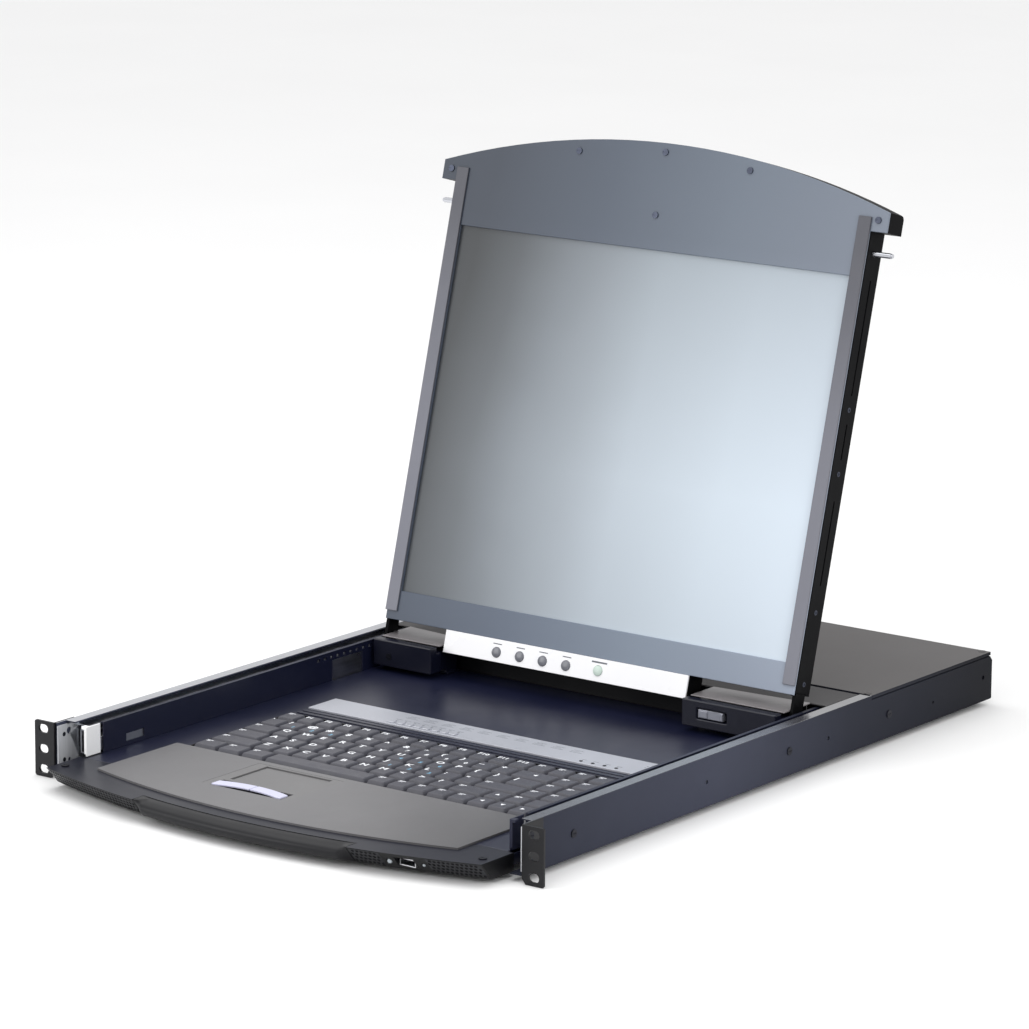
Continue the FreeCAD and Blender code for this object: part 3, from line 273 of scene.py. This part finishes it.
# painted reflection: the switched-off panel and the blue plate round it are coloured paler towards the right and darker
# towards the top, for the bright surroundings they reflect
M["screen"] = painted_reflection_finish("lcd_screen", [(0.03, srgb(76, 79, 82)), (0.14, srgb(103, 108, 113)), (0.25, srgb(136, 143, 150)), (0.36, srgb(158, 166, 174)), (0.48, srgb(181, 191, 200)),
                                    (0.7, srgb(198, 209, 219)), (0.95, srgb(205, 216, 227))], 0.2, 0.34, 0.3, top_shade=0.62)
M["lcdblue"] = painted_reflection_finish("lcd_bezel_blue", [(0.02, srgb(68, 77, 92)), (0.3, srgb(94, 105, 122)), (0.6, srgb(124, 136, 152)), (0.98, srgb(146, 155, 171))],
                      0.25, 0.42, 0.4, coat=0.1, fine_bump=0.05, top_shade=0.6)


def painted_light_ramp(m, axis, stops):
    """Paint light and shade into a finish: its tone changes slowly along one axis; stops are (metres, factor)."""
    nt = m.node_tree
    b = [n for n in nt.nodes if n.type == "BSDF_PRINCIPLED"][0]
    source = b.inputs["Base Color"].links[0].from_socket
    sep = nt.nodes.new("ShaderNodeSeparateXYZ")
    nt.links.new(tex_coord(nt), sep.inputs["Vector"])
    lo, hi = stops[0][0], stops[-1][0]
    top = max(f for _, f in stops)
    grade = ramp(nt, mapped(nt, sep.outputs[axis], 0.0, 1.0, lo, hi), [((p - lo) / (hi - lo), (f / top, f / top, f / top)) for p, f in stops])
    mix = nt.nodes.new("ShaderNodeMix")
    mix.data_type = "RGBA"
    mix.blend_type = "MULTIPLY"
    mix.inputs["Factor"].default_value = 1.0
    nt.links.new(source, mix.inputs["A"])
    nt.links.new(grade, mix.inputs["B"])
    nt.links.new(mix.outputs["Result"], b.inputs["Base Color"])


M["case"] = surface("case_paint", srgb(60, 63, 77), 0.36, grain=1500, grain_bump=0.05, vary=0.08, cloud=6, spec=0.06, smudge=0.15)
# painted light: the case paint is darker at the front and much darker towards the back, lightest about a quarter of the
# way back, for how the light falls along the walls
painted_light_ramp(M["case"], "Y", [(0.0, 0.5), (0.13, 0.8), (0.25, 1.0), (0.42, 0.45), (0.62, 0.14)])
# painted shade: the display's trim darkens towards its top
painted_light_ramp(M["trim"], "Z", [(0.06, 1.0), (0.22, 0.85), (0.37, 0.45)])
# painted light and shade: the palm rest is lightest just left of the middle and darker towards the right
painted_light_ramp(M["palm"], "X", [(-0.17, 0.92), (-0.02, 1.08), (0.08, 0.95), (0.17, 0.62)])

SLOTS = {
    "case_paint": "case", "ear_paint": "ear", "zinc_steel": "zinc", "slide_steel": "slide", "cage_steel": "cage", "cover_paint": "cover",
    "screw_dark": "screwd", "screw_bright": "screwb", "circuit_board": "pcb", "connector_black": "conn", "socket_metal": "socket",
    "deck_gloss": "deck", "bezel_black": "bezel", "handle_black": "handle", "palm_grey": "palm", "touchpad_grey": "pad",
    "button_lavender": "lavender", "key_dark": "key", "strip_silver": "strip", "lever_white": "white", "block_navy": "block",
    "latch_silver": "latch", "lcd_bezel_blue": "lcdblue", "lcd_housing_black": "lcdblack", "lcd_trim_silver": "trim", "lcd_screen": "screen",
    "osd_white": "osd", "osd_button_grey": "osdbtn", "lamp_button": "lamp", "hinge_steel": "hinge"}
NODE_SLOT = {s["node"]: s["material_slot"] for s in frame["record"]["subparts"]}

BEVEL = {"main_keys": 0.0008, "function_keys": 0.0008, "bottom_keys": 0.0008, "space_bar": 0.0008, "front_bezel": 0.0008,
         "hinge_block_left": 0.0009, "hinge_block_right": 0.0009, "lcd_handle": 0.0009, "lcd_front_bezel": 0.0004, "lcd_rear_housing": 0.0007,
         "osd_housing": 0.0006, "osd_fascia": 0.0003, "palm_rest": 0.0005, "port_buttons": 0.0004, "touchpad": 0.0002, "touchpad_button_left": 0.0004,
         "touchpad_button_right": 0.0004, "release_latch": 0.0004, "slide_releases": 0.0003, "usb_port": 0.0002, "side_plate_left": 0.0004,
         "side_plate_right": 0.0004, "rear_case_base": 0.0004, "rear_case_cover": 0.0004, "hinge_cover": 0.0004, "power_switch": 0.0006, "drawer_pan": 0.0004,
         "deck_panel": 0.0003, "lcd_screws": 0.0002, "chassis_screws": 0.0002, "drawer_screws": 0.0002, "rack_ear_left": 0.0003, "rack_ear_right": 0.0003,
         "lcd_side_trim_left": 0.0004, "lcd_side_trim_right": 0.0004, "port_strip": 0.0003}
PLAIN = {"ball_cages_outer", "ball_cages_inner", "main_board", "palm_rest", "touchpad"}


# folded or pierced sheets: only their long straight edges are broken, hole rims stay crisp
SHEETS = {"lcd_front_bezel", "side_plate_left", "side_plate_right", "hinge_cover", "rear_case_base", "rear_case_cover", "drawer_pan", "deck_panel",
          "rack_ear_left", "rack_ear_right", "lcd_rear_housing", "osd_fascia", "outer_slide_left", "outer_slide_right", "middle_slide_left",
          "middle_slide_right", "inner_slide_left", "inner_slide_right", "hinge_block_left", "hinge_block_right", "port_strip", "rear_sockets"}


def mark_straight_edges(me):
    """Bevel weight 1 on the sharp edges that are long and straight."""
    where, owners = {}, {}
    ids = [where.setdefault((round(v.co.x, 6), round(v.co.y, 6), round(v.co.z, 6)), len(where)) for v in me.vertices]
    for p in me.polygons:
        vs = list(p.vertices)
        for a, b in zip(vs, vs[1:] + vs[:1]):
            pair = (min(ids[a], ids[b]), max(ids[a], ids[b]))
            owners.setdefault(pair, []).append(p.normal.copy())
    layer = me.attributes.get("bevel_weight_edge") or me.attributes.new("bevel_weight_edge", "FLOAT", "EDGE")
    short = {}
    wanted = []
    for e in me.edges:
        a, b = e.vertices
        length = (me.vertices[a].co - me.vertices[b].co).length
        ns = owners.get((min(ids[a], ids[b]), max(ids[a], ids[b])), [])
        sharp = len(ns) == 2 and ns[0].dot(ns[1]) < 0.88
        if sharp and length < 0.0022:
            short[ids[a]] = short[ids[b]] = True
        wanted.append(sharp and length >= 0.0022)
    for e, w in zip(me.edges, wanted):
        a, b = e.vertices
        keep = w and not (ids[a] in short and ids[b] in short and (me.vertices[a].co - me.vertices[b].co).length < 0.004)
        layer.data[e.index].value = 1.0 if keep else 0.0


CURVED = {}


def rounded_faces(me):
    """Faces of the curved surfaces: those that meet a neighbour at a slight angle."""
    if me.name not in CURVED:
        where, sides = {}, {}
        ids = [where.setdefault((round(v.co.x, 6), round(v.co.y, 6), round(v.co.z, 6)), len(where)) for v in me.vertices]
        normals = [p.normal.copy() for p in me.polygons]
        for p in me.polygons:
            vs = [ids[k] for k in p.vertices]
            for a, b in zip(vs, vs[1:] + vs[:1]):
                if a != b:
                    sides.setdefault((min(a, b), max(a, b)), []).append(p.index)
        found = set()
        for pair in sides.values():
            if len(pair) == 2:
                d = normals[pair[0]].dot(normals[pair[1]])
                if 0.88 < d < 0.99996:
                    found.update(pair)
        CURVED[me.name] = found
    return CURVED[me.name]


def dress(name, mat=None, rules=()):
    """Give a CAD node its finish, and break its sharp edges the way a real moulding or folded sheet has them.
    A rule is (material, test of a face's normal and middle)."""
    o = NODES[name]
    o.data.materials.clear()
    o.data.materials.append(mat or M[SLOTS[NODE_SLOT[name]]])
    for m, _ in rules:
        o.data.materials.append(m)
    curved = rounded_faces(o.data)
    for p in o.data.polygons:
        p.material_index = 0
        p.use_smooth = p.index in curved
        for k, (_, test) in enumerate(rules, 1):
            if test(p.normal, p.center):
                p.material_index = k
    for m in list(o.modifiers):
        o.modifiers.remove(m)
    if name in PLAIN:
        return o
    w = o.modifiers.new("weld", "WELD")
    w.merge_threshold = 2e-6
    bv = o.modifiers.new("edge", "BEVEL")
    bv.width = BEVEL.get(name, 0.00025)
    bv.segments = 2
    bv.limit_method = "WEIGHT" if name in SHEETS else "ANGLE"
    bv.angle_limit = math.radians(28)
    if name in SHEETS:
        mark_straight_edges(o.data)
    bv.miter_outer = "MITER_ARC"
    bv.use_clamp_overlap = True
    bv.loop_slide = False
    return o


def at(z):
    return z / 1000 - SHIFT


for n in NODES:
    dress(n)
dress("drawer_pan", M["inner"], [(M["case"], lambda n, c: n.z > 0.7 and c.z > at(40))])
dress("keyboard_base", M["keybase"])
# painted reflection on the flange tops, lighter on the left
dress("side_plate_left", None, [(M["innerwall"], lambda n, c: n.x > 0.7), (M["flangelit"], lambda n, c: n.z > 0.7 and c.z > at(42))])
dress("side_plate_right", None, [(M["flange"], lambda n, c: n.z > 0.7 and c.z > at(42))])
dress("front_bezel", None, [(M["bezeltop"], lambda n, c: n.z > 0.7)])
# painted shade and reflection: the hinge cover's faces towards the cavity between the hinge blocks are near-black for
# the shadow there, and its side plates' tops are lighter for a reflection
dress("hinge_cover", M["hcover"], [(M["shade"], lambda n, c: abs(n.y) > 0.7 and c.y < 0.403 and c.z < at(42.9)), (M["hingeplate"], lambda n, c: c.y < 0.4006 and c.z > at(42.9))])
dress("rear_case_cover", None, [(M["case"], lambda n, c: abs(n.x) > 0.7 or abs(n.y) > 0.7)])
dress("chassis_screws", None, [(M["cover"], lambda n, c: c.z > at(40.8) and abs(c.x) < 0.219)])
dress("drawer_screws", None, [(M["cover"], lambda n, c: c.y > 0.43)])
dress("slide_releases", None, [(M["levernavy"], lambda n, c: c.x > 0)])
dress("touchpad", M["pad"], [(M["padframe"], lambda n, c: c.z < at(18.3))])
dress("lock_pin_right", M["pin"])
dress("lock_pin_left", M["pin"])
dress("rear_case_base", M["case"])
for n in ("outer_slide_left", "outer_slide_right"):
    if n in NODES:
        dress(n, None, [(M["tab"], lambda n, c: c.y < 0.021)])


# ------------------------------------------------------------------ pieces made here
def piece(name, verts, faces, mat, body, smooth=True):
    me = bpy.data.meshes.new(name)
    me.from_pydata([tuple(v) for v in verts], [], faces)
    bm = bmesh.new()
    bm.from_mesh(me)
    bmesh.ops.recalc_face_normals(bm, faces=bm.faces)
    bm.to_mesh(me)
    bm.free()
    for p in me.polygons:
        p.use_smooth = smooth
    o = bpy.data.objects.new(name, me)
    bpy.context.scene.collection.objects.link(o)
    me.materials.append(mat)
    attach(o, body)
    return o


class Heap:
    """Collects many small closed skins into one piece."""

    def __init__(self):
        self.v, self.f = [], []

    def add(self, verts, faces):
        k = len(self.v)
        self.v += [tuple(v) for v in verts]
        self.f += [tuple(i + k for i in f) for f in faces]

    def slab(self, points, low, high, place):
        """A flat outline of (a, b) pairs made into a thin plate; place(a, b, h) gives its point."""
        n = len(points)
        vs = [place(a, b, low) for a, b in points] + [place(a, b, high) for a, b in points]
        fs = [tuple(range(n))[::-1], tuple(range(n, 2 * n))]
        fs += [(i, (i + 1) % n, n + (i + 1) % n, n + i) for i in range(n)]
        self.add(vs, fs)

    def make(self, name, mat, slot, body, smooth=False):
        return piece(name, self.v, self.f, mat, body, smooth)


GLYPH = {}


def glyph(ch, size):
    """Outline of one printed character as a thin closed plate, from the font that Blender has built in."""
    if (ch, size) not in GLYPH:
        c = bpy.data.curves.new("glyph", "FONT")
        c.body = ch
        c.size = size
        c.extrude = 0.000012
        c.offset = size * 0.028
        c.resolution_u = 3
        o = bpy.data.objects.new("glyph", c)
        bpy.context.scene.collection.objects.link(o)
        bpy.context.view_layer.update()
        me = bpy.data.meshes.new_from_object(o)
        bm = bmesh.new()
        bm.from_mesh(me)
        bmesh.ops.remove_doubles(bm, verts=bm.verts, dist=1e-7)
        bm.verts.index_update()
        GLYPH[(ch, size)] = ([tuple(v.co) for v in bm.verts], [tuple(v.index for v in f.verts) for f in bm.faces])
        bm.free()
        bpy.data.objects.remove(o)
        bpy.data.meshes.remove(me)
        bpy.data.curves.remove(c)
    return GLYPH[(ch, size)]


def stamp(heap, ch, size, x, y, z, bold=1.0):
    """Print a character with its lower left corner at (x, y), lying on height z (slot millimetres)."""
    vs, fs = glyph(ch, size)
    heap.add([P(x + a * 1000 * bold, y + b * 1000, z) + Vector((0, 0, h + 0.000014)) for a, b, h in vs], fs)


def flat_bar(heap, x0, x1, y0, y1, z):
    heap.slab([(x0, y0), (x1, y0), (x1, y1), (x0, y1)], z + 0.002, z + 0.03, lambda a, b, h: P(a, b, h))


# --- key legends
UNIT, ROW, GAP, TOPZ = 18.75, 19.6, 1.3, 20.6


def key_spots(row, widths):
    left, out = 0.0, []
    for w in widths:
        if w > 0:
            back_y = 87.2 + (row + 1) * ROW + (1.6 if row == 5 else 0) - GAP
            out.append(((left - 8.5) * UNIT + GAP / 2, w * UNIT - GAP, back_y))
        left += abs(w)
    return out


def legend(row, widths, marks, white, blue):
    """marks: per key, a character, '-' for a bar, '<' '>' '^' 'v' for arrows, '' for a bare key."""
    for (x0, w, yb), mark in zip(key_spots(row, widths), marks):
        tx, ty = x0 + 3.4, yb - 5.9
        main, low = (mark + (" ",))[:2] if isinstance(mark, tuple) else (mark, " ")
        if main == "-":
            flat_bar(white, tx, tx + min(5.6, w - 8), ty + 1.9, ty + 2.9, TOPZ)
            flat_bar(white, tx, tx + min(3.8, w - 9), ty + 0.1, ty + 0.8, TOPZ)
        elif main in ("left", "right", "up", "down"):
            cx, cy = x0 + w / 2, yb - 8.0
            tri = [(-2.0, -1.6), (2.0, -1.6), (0, 1.9)]
            turn = {"up": 0, "left": 90, "down": 180, "right": -90}[main]
            c, s = math.cos(math.radians(turn)), math.sin(math.radians(turn))
            white.slab([(cx + a * c - b * s, cy + a * s + b * c) for a, b in tri], TOPZ + 0.002, TOPZ + 0.03, lambda a, b, h: P(a, b, h))
        elif main:
            for k, ch in enumerate(main):
                stamp(white, ch, 0.0074 if len(main) == 1 else 0.0054, tx - 0.8 + 3.3 * k, ty - 0.9, TOPZ, 1.2)
        if low.strip():
            stamp(blue if low in "456123" else white, low, 0.0054, x0 + w - 6.6, yb - 14.6, TOPZ, 1.1)


ink_f, ink_m, ink_b, blue_m, blue_b, blue_f = Heap(), Heap(), Heap(), Heap(), Heap(), Heap()
legend(5, [1] * 17, ["-"] + ["F%d" % k for k in range(1, 13)] + ["-"] * 4, ink_f, blue_f)
legend(4, [1] * 13 + [2, 1, 1], ["`", ("!", "1"), ("@", "2"), ("#", "3"), "$", "%", "^", ("&", "7"), ("*", "8"), ("(", "9"), (")", "0"), "_", "+", "left", "-", "-"], ink_m, blue_m)
legend(3, [1.5] + [1] * 12 + [1.5, 1, 1], ["-"] + list("QWERTY") + [("U", "4"), ("I", "5"), ("O", "6"), "P", "{", "}", "|", "-", "-"], ink_m, blue_m)
legend(2, [1.75] + [1] * 11 + [2.25, 1, 1], ["-"] + list("ASDFGH") + [("J", "1"), ("K", "2"), ("L", "3"), ":", "\"", "-", "-", "-"], ink_m, blue_m)
legend(1, [2.25] + [1] * 10 + [1.75, 1, 1, 1], ["-"] + list("ZXCVBNM") + ["<", ">", "?", "-", "up", "-"], ink_m, blue_m)
legend(0, [1.25, 1.25, 1.25, -5.25] + [1] * 8, ["-", "-", "-", "-", "-", "-", "-", "-", "left", "down", "right"], ink_b, blue_b)
ink_f.make("legends_function", M["ink"], "key_dark", "function_keys")
ink_m.make("legends_main", M["ink"], "key_dark", "main_keys")
ink_b.make("legends_bottom", M["ink"], "key_dark", "bottom_keys")
blue_m.make("legends_overlay", M["inkblue"], "key_dark", "main_keys")

# --- print on the port strip: port numbers, guide lines, and four small lamps at the right end
ink_s = Heap()
for k in range(8):
    x = -82 + 8.6 * k
    stamp(ink_s, str(k + 1), 0.0038, x + 2.1, 238.4, 19.5, 1.1)
    flat_bar(ink_s, x, x + 6, 242.6, 243.1, 19.5)
for k in range(10):
    x = -78 + 17.6 * k
    flat_bar(ink_s, x, x + 11.5, 249.4, 250.0, 19.5)
    flat_bar(ink_s, x, x + 8.0, 252.2, 252.7, 19.5)
    flat_bar(ink_s, x + 1.0, x + 10.0, 254.8, 255.3, 19.5)
for k in range(4):
    x = 104 + 11.0 * k
    flat_bar(ink_s, x - 2.4, x + 2.4, 236.8, 237.5, 19.5)
ink_s.make("strip_marks", M["inkgrey"], "strip_silver", "drawer")
lamps = Heap()
for k in range(4):
    x = 104 + 11.0 * k
    ring = [(x + 1.5 * math.cos(t * math.pi / 6), 232.6 + 1.5 * math.sin(t * math.pi / 6)) for t in range(12)]
    lamps.slab(ring, 19.502, 19.75, lambda a, b, h: P(a, b, h))
lamps.make("strip_lamps", M["shade"], "strip_silver", "drawer")

# --- small bars above the display's own buttons
osd_print = Heap()
for x in (-83.8, -60.7, -38.0, -14.9):
    osd_print.slab([(x - 4.2, -28.2), (x + 4.2, -28.2), (x + 4.2, -27.4), (x - 4.2, -27.4)], -0.602, -0.625, lambda a, b, h: L(a, h, b))
osd_print.slab([(9.4, -27.9), (24.2, -27.9), (24.2, -26.6), (9.4, -26.6)], -0.602, -0.625, lambda a, b, h: L(a, h, b))
osd_print.make("osd_marks", M["inkgrey"], "osd_white", "lcd")


# --- dimpled grips on both sides of the front bezel
def face_point(x, z, lift):
    r = 647.0 + 12.0 * (z - 4.0) / 13.7 + lift
    return P(x, 599.6 - math.sqrt(r * r - x * x), z)


def grip(name, x0, x1, z0=5.0, z1=16.9, pitch=3.4, rows=4, top=0.55, pit=0.03):
    cols = max(2, round((x1 - x0) / pitch))
    p = (x1 - x0) / cols
    q = (z1 - z0) / rows
    vs, fs, index, dark = [], [], {}, set()

    def lat(i, j):
        if (i, j) not in index:
            index[(i, j)] = len(vs)
            # the rim of the pad falls away to the bezel's face
            edge = min(i, 2 * cols - i, j, 2 * rows - j)
            vs.append(face_point(x0 + i * p / 2, z0 + j * q / 2, top if edge else 0.12))
        return index[(i, j)]

    def raw(u, v, lift):
        vs.append(face_point(x0 + u, z0 + v, lift))
        return len(vs) - 1

    for r in range(rows):
        shift = r % 2
        cells = [2 * c + shift for c in range(cols - shift)]
        for i in cells:
            j = 2 * r
            loop = [lat(i, j), lat(i + 1, j), lat(i + 2, j), lat(i + 2, j + 1), lat(i + 2, j + 2), lat(i + 1, j + 2), lat(i, j + 2), lat(i, j + 1)]
            cx, cz = (i + 1) * p / 2, (j + 1) * q / 2
            rim, floor_ = [], []
            for k in range(8):
                t = math.radians(-135 + 45 * k)
                rim.append(raw(cx + 0.37 * p * math.cos(t), cz + 0.37 * q * math.sin(t), top))
            for k in range(8):
                t = math.radians(-135 + 45 * k)
                floor_.append(raw(cx + 0.27 * p * math.cos(t), cz + 0.27 * q * math.sin(t), pit))
            for k in range(8):
                m = (k + 1) % 8
                fs.append((loop[k], loop[m], rim[m], rim[k]))
                dark.add(len(fs))
                fs.append((rim[k], rim[m], floor_[m], floor_[k]))
            dark.add(len(fs))
            fs.append(tuple(floor_))
        if shift:
            for i, s in ((0, 1), (2 * cols - 1, 1)):
                for j in (2 * r, 2 * r + 1):
                    fs.append((lat(i, j), lat(i + s, j), lat(i + s, j + 1), lat(i, j + 1)))
    # back skin inside the bezel's wall
    under = {}

    def low(i, j):
        if (i, j) not in under:
            under[(i, j)] = len(vs)
            vs.append(face_point(x0 + i * p / 2, z0 + j * q / 2, -0.25))
        return under[(i, j)]

    border = [(i, 0) for i in range(2 * cols)] + [(2 * cols, j) for j in range(2 * rows)] + [(i, 2 * rows) for i in range(2 * cols, 0, -1)] + [(0, j) for j in range(2 * rows, 0, -1)]
    for k in range(len(border)):
        a, b = border[k], border[(k + 1) % len(border)]
        fs.append((lat(*a), lat(*b), low(*b), low(*a)))
    n = 2 * cols
    fs.append(tuple(low(0, j) for j in range(2 * rows, -1, -1)) + (low(1, 0), low(1, 2 * rows)))
    for i in range(1, n - 1):
        fs.append((low(i, 0), low(i + 1, 0), low(i + 1, 2 * rows), low(i, 2 * rows)))
    fs.append((low(n - 1, 0),) + tuple(low(n, j) for j in range(0, 2 * rows + 1)) + (low(n - 1, 2 * rows),))
    o = piece(name, vs, fs, M["gripnet"], "drawer", smooth=False)
    # painted shade: the dimple walls and floors take the near-black material, for the shade down in the pits
    o.data.materials.append(M["shade"])
    for k in dark:
        o.data.polygons[k].material_index = 1
    return o


grip("grip_pad_left", -204.6, -99.2)
grip("grip_pad_right", 104.2, 128.6)
grip("grip_pad_corner", 164.0, 204.6)


# --- pull handle: the bezel's front face rolls into a rounded nose and back
def spline(points, n):
    """A smooth run through the points, n steps to each."""
    out = []
    for i in range(len(points) - 1):
        p0 = points[max(i - 1, 0)]
        p1, p2 = points[i], points[i + 1]
        p3 = points[min(i + 2, len(points) - 1)]
        for k in range(n):
            t = k / n
            out.append(tuple(0.5 * ((2 * b) + (c - a) * t + (2 * a - 5 * b + 4 * c - d) * t * t + (3 * b - a - 3 * c + d) * t ** 3) for a, b, c, d in zip(p0, p1, p2, p3)))
    out.append(points[-1])
    return out


NOSE = [(-12.8, 4.45), (-8.2, 4.6), (-4.0, 6.2), (-1.5, 8.8), (-0.9, 11.6), (-2.6, 14.3), (-6.6, 16.2), (-10.0, 17.0), (-12.8, 17.3)]
FACE = [(-12.8, 4.05), (-12.3, 4.1), (-9.6, 6.6), (-6.6, 10.0), (-4.2, 12.9), (-2.2, 15.3), (-1.0, 17.0), (-2.4, 17.6), (-12.8, 17.65)]
nose, face = spline(NOSE, 5), spline(FACE, 5)
xa, xb, blend_run = -98.1, 103.1, 9.0
stops = [xa + d for d in (0, 1, 2, 3, 4, 5, 6, 7, 8, 9, 10.5)] + [xa + 10.5 + (xb - xa - 21.0) * k / 32 for k in range(1, 32)] + [xb - d for d in (10.5, 9, 8, 7, 6, 5, 4, 3, 2, 1, 0)]
hv, hf = [], []
for x in stops:
    d = min(x - xa, xb - x)
    t = min(1.0, d / blend_run)
    t = t * t * (3 - 2 * t)
    for (ra, za), (rb, zb) in zip(face, nose):
        r, z = ra + (rb - ra) * t, za + (zb - za) * t
        rr = 659.0 + r
        hv.append(P(x, 599.6 - math.sqrt(rr * rr - x * x), z))
m = len(nose)
for i in range(len(stops) - 1):
    for k in range(m):
        a, b = i * m + k, i * m + (k + 1) % m
        hf.append((a, b, b + m, a + m))
hf.append(tuple(range(m)))
hf.append(tuple(range((len(stops) - 1) * m, len(stops) * m))[::-1])
pull = piece("pull_handle", hv, hf, M["handle"], "drawer")
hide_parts("handle_grip")
e = pull.modifiers.new("flat", "WEIGHTED_NORMAL")
e.mode = "FACE_AREA"
e.weight = 50


# --- lamp lenses in the bezel
def dome(name, x, z, r, y_face, depth, mat):
    vs, fs = [], []
    rings = [(r, depth), (r, 0.15), (r * 0.93, -0.12), (r * 0.72, -0.36), (r * 0.4, -0.52)]
    for rad, dy in rings:
        for k in range(24):
            t = k * math.pi / 12
            vs.append(P(x + rad * math.cos(t), y_face + dy, z + rad * math.sin(t)))
    for i in range(len(rings) - 1):
        for k in range(24):
            a, b = i * 24 + k, i * 24 + (k + 1) % 24
            fs.append((a, b, b + 24, a + 24))
    vs.append(P(x, y_face - 0.56, z))
    last = (len(rings) - 1) * 24
    fs += [(last + k, last + (k + 1) % 24, len(vs) - 1) for k in range(24)]
    fs.append(tuple(range(24)))
    return piece(name, vs, fs, mat, "drawer")


dome("bezel_lamp", 133.4, 10.3, 2.05, -39.0, 3.0, M["lens"])
dome("bezel_lamp_small", 160.0, 10.5, 1.2, -33.1, 3.0, M["lens"])

# ------------------------------------------------------------------ stage
fm, fnt, fb = new_mat("floor_pale")
fvec = tex_coord(fnt)
fb.inputs["Roughness"].default_value = 0.8
fb.inputs["Specular IOR Level"].default_value = 0.1
fnt.links.new(ramp(fnt, noise_node(fnt, fvec, 3.0), [(0.2, (0.9, 0.9, 0.9)), (0.8, (0.92, 0.92, 0.92))]), fb.inputs["Base Color"])
FLOOR_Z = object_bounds()[0].z - 0.0002
bmf = bmesh.new()
bmesh.ops.create_grid(bmf, x_segments=8, y_segments=8, size=14.0)
for v in bmf.verts:
    v.co.z = FLOOR_Z
fme = bpy.data.meshes.new("floor")
bmf.to_mesh(fme)
bmf.free()
floor = bpy.data.objects.new("floor", fme)
bpy.context.scene.collection.objects.link(floor)
floor.data.materials.append(fm)

bpy.context.scene.view_settings.view_transform = "Standard"
world = bpy.data.worlds.new("studio")
bpy.context.scene.world = world
world.use_nodes = True
wnt = world.node_tree
bg = wnt.nodes["Background"]
geo = wnt.nodes.new("ShaderNodeTexCoord")
wsep = wnt.nodes.new("ShaderNodeSeparateXYZ")
wnt.links.new(geo.outputs["Generated"], wsep.inputs["Vector"])
wnt.links.new(ramp(wnt, mapped(wnt, wsep.outputs["Z"], 0.0, 1.0, -1.0, 1.0), [(0.48, (0.62, 0.62, 0.63)), (0.6, (0.84, 0.84, 0.85)), (0.8, (1.0, 1.0, 1.0)), (1.0, (1.0, 1.0, 1.0))]), bg.inputs["Color"])
bg.inputs["Strength"].default_value = 1.0


def area(name, loc, target, size, power, size_y=None, colour=(1, 1, 1)):
    ld = bpy.data.lights.new(name, "AREA")
    ld.energy = power
    ld.color = colour
    ld.shape = "RECTANGLE"
    ld.size = size
    ld.size_y = size_y or size
    o = bpy.data.objects.new(name, ld)
    bpy.context.scene.collection.objects.link(o)
    o.location = loc
    o.rotation_mode = "QUATERNION"
    o.rotation_quaternion = (Vector(target) - Vector(loc)).to_track_quat("-Z", "Y")
    return o


area("key_top", (-0.5, 0.1, 2.4), (0, 0.25, 0.0), 2.2, 22)
area("front_left", (-1.5, -1.65, 0.85), (0.0, 0.42, 0.2), 1.2, 12, 1.2)
area("right_side", (1.0, 0.05, 0.45), (0.2, 0.2, 0.02), 0.5, 2.2, 0.3)

# ------------------------------------------------------------------ camera
az, el, roll = math.radians(36.81), math.radians(12.73), math.radians(0.37)
back = Vector((math.sin(az) * math.cos(el), -math.cos(az) * math.cos(el), math.sin(el)))
x = Vector((0, 0, 1)).cross(back).normalized()
y = back.cross(x)
x2 = math.cos(roll) * x + math.sin(roll) * y
y2 = -math.sin(roll) * x + math.cos(roll) * y
cam_data = bpy.data.cameras.new("camera")
cam_data.sensor_width = 36.0
cam_data.lens = 5025.0 * 36.0 / 1029.0
cam_data.clip_start = 0.05
cam_data.clip_end = 60
cam = bpy.data.objects.new("camera", cam_data)
bpy.context.scene.collection.objects.link(cam)
rot = Matrix((x2, y2, back)).transposed().to_4x4()
cam.matrix_world = Matrix.Translation((2.2646, -2.7406, 1.0410 - SHIFT)) @ rot
bpy.context.scene.camera = cam
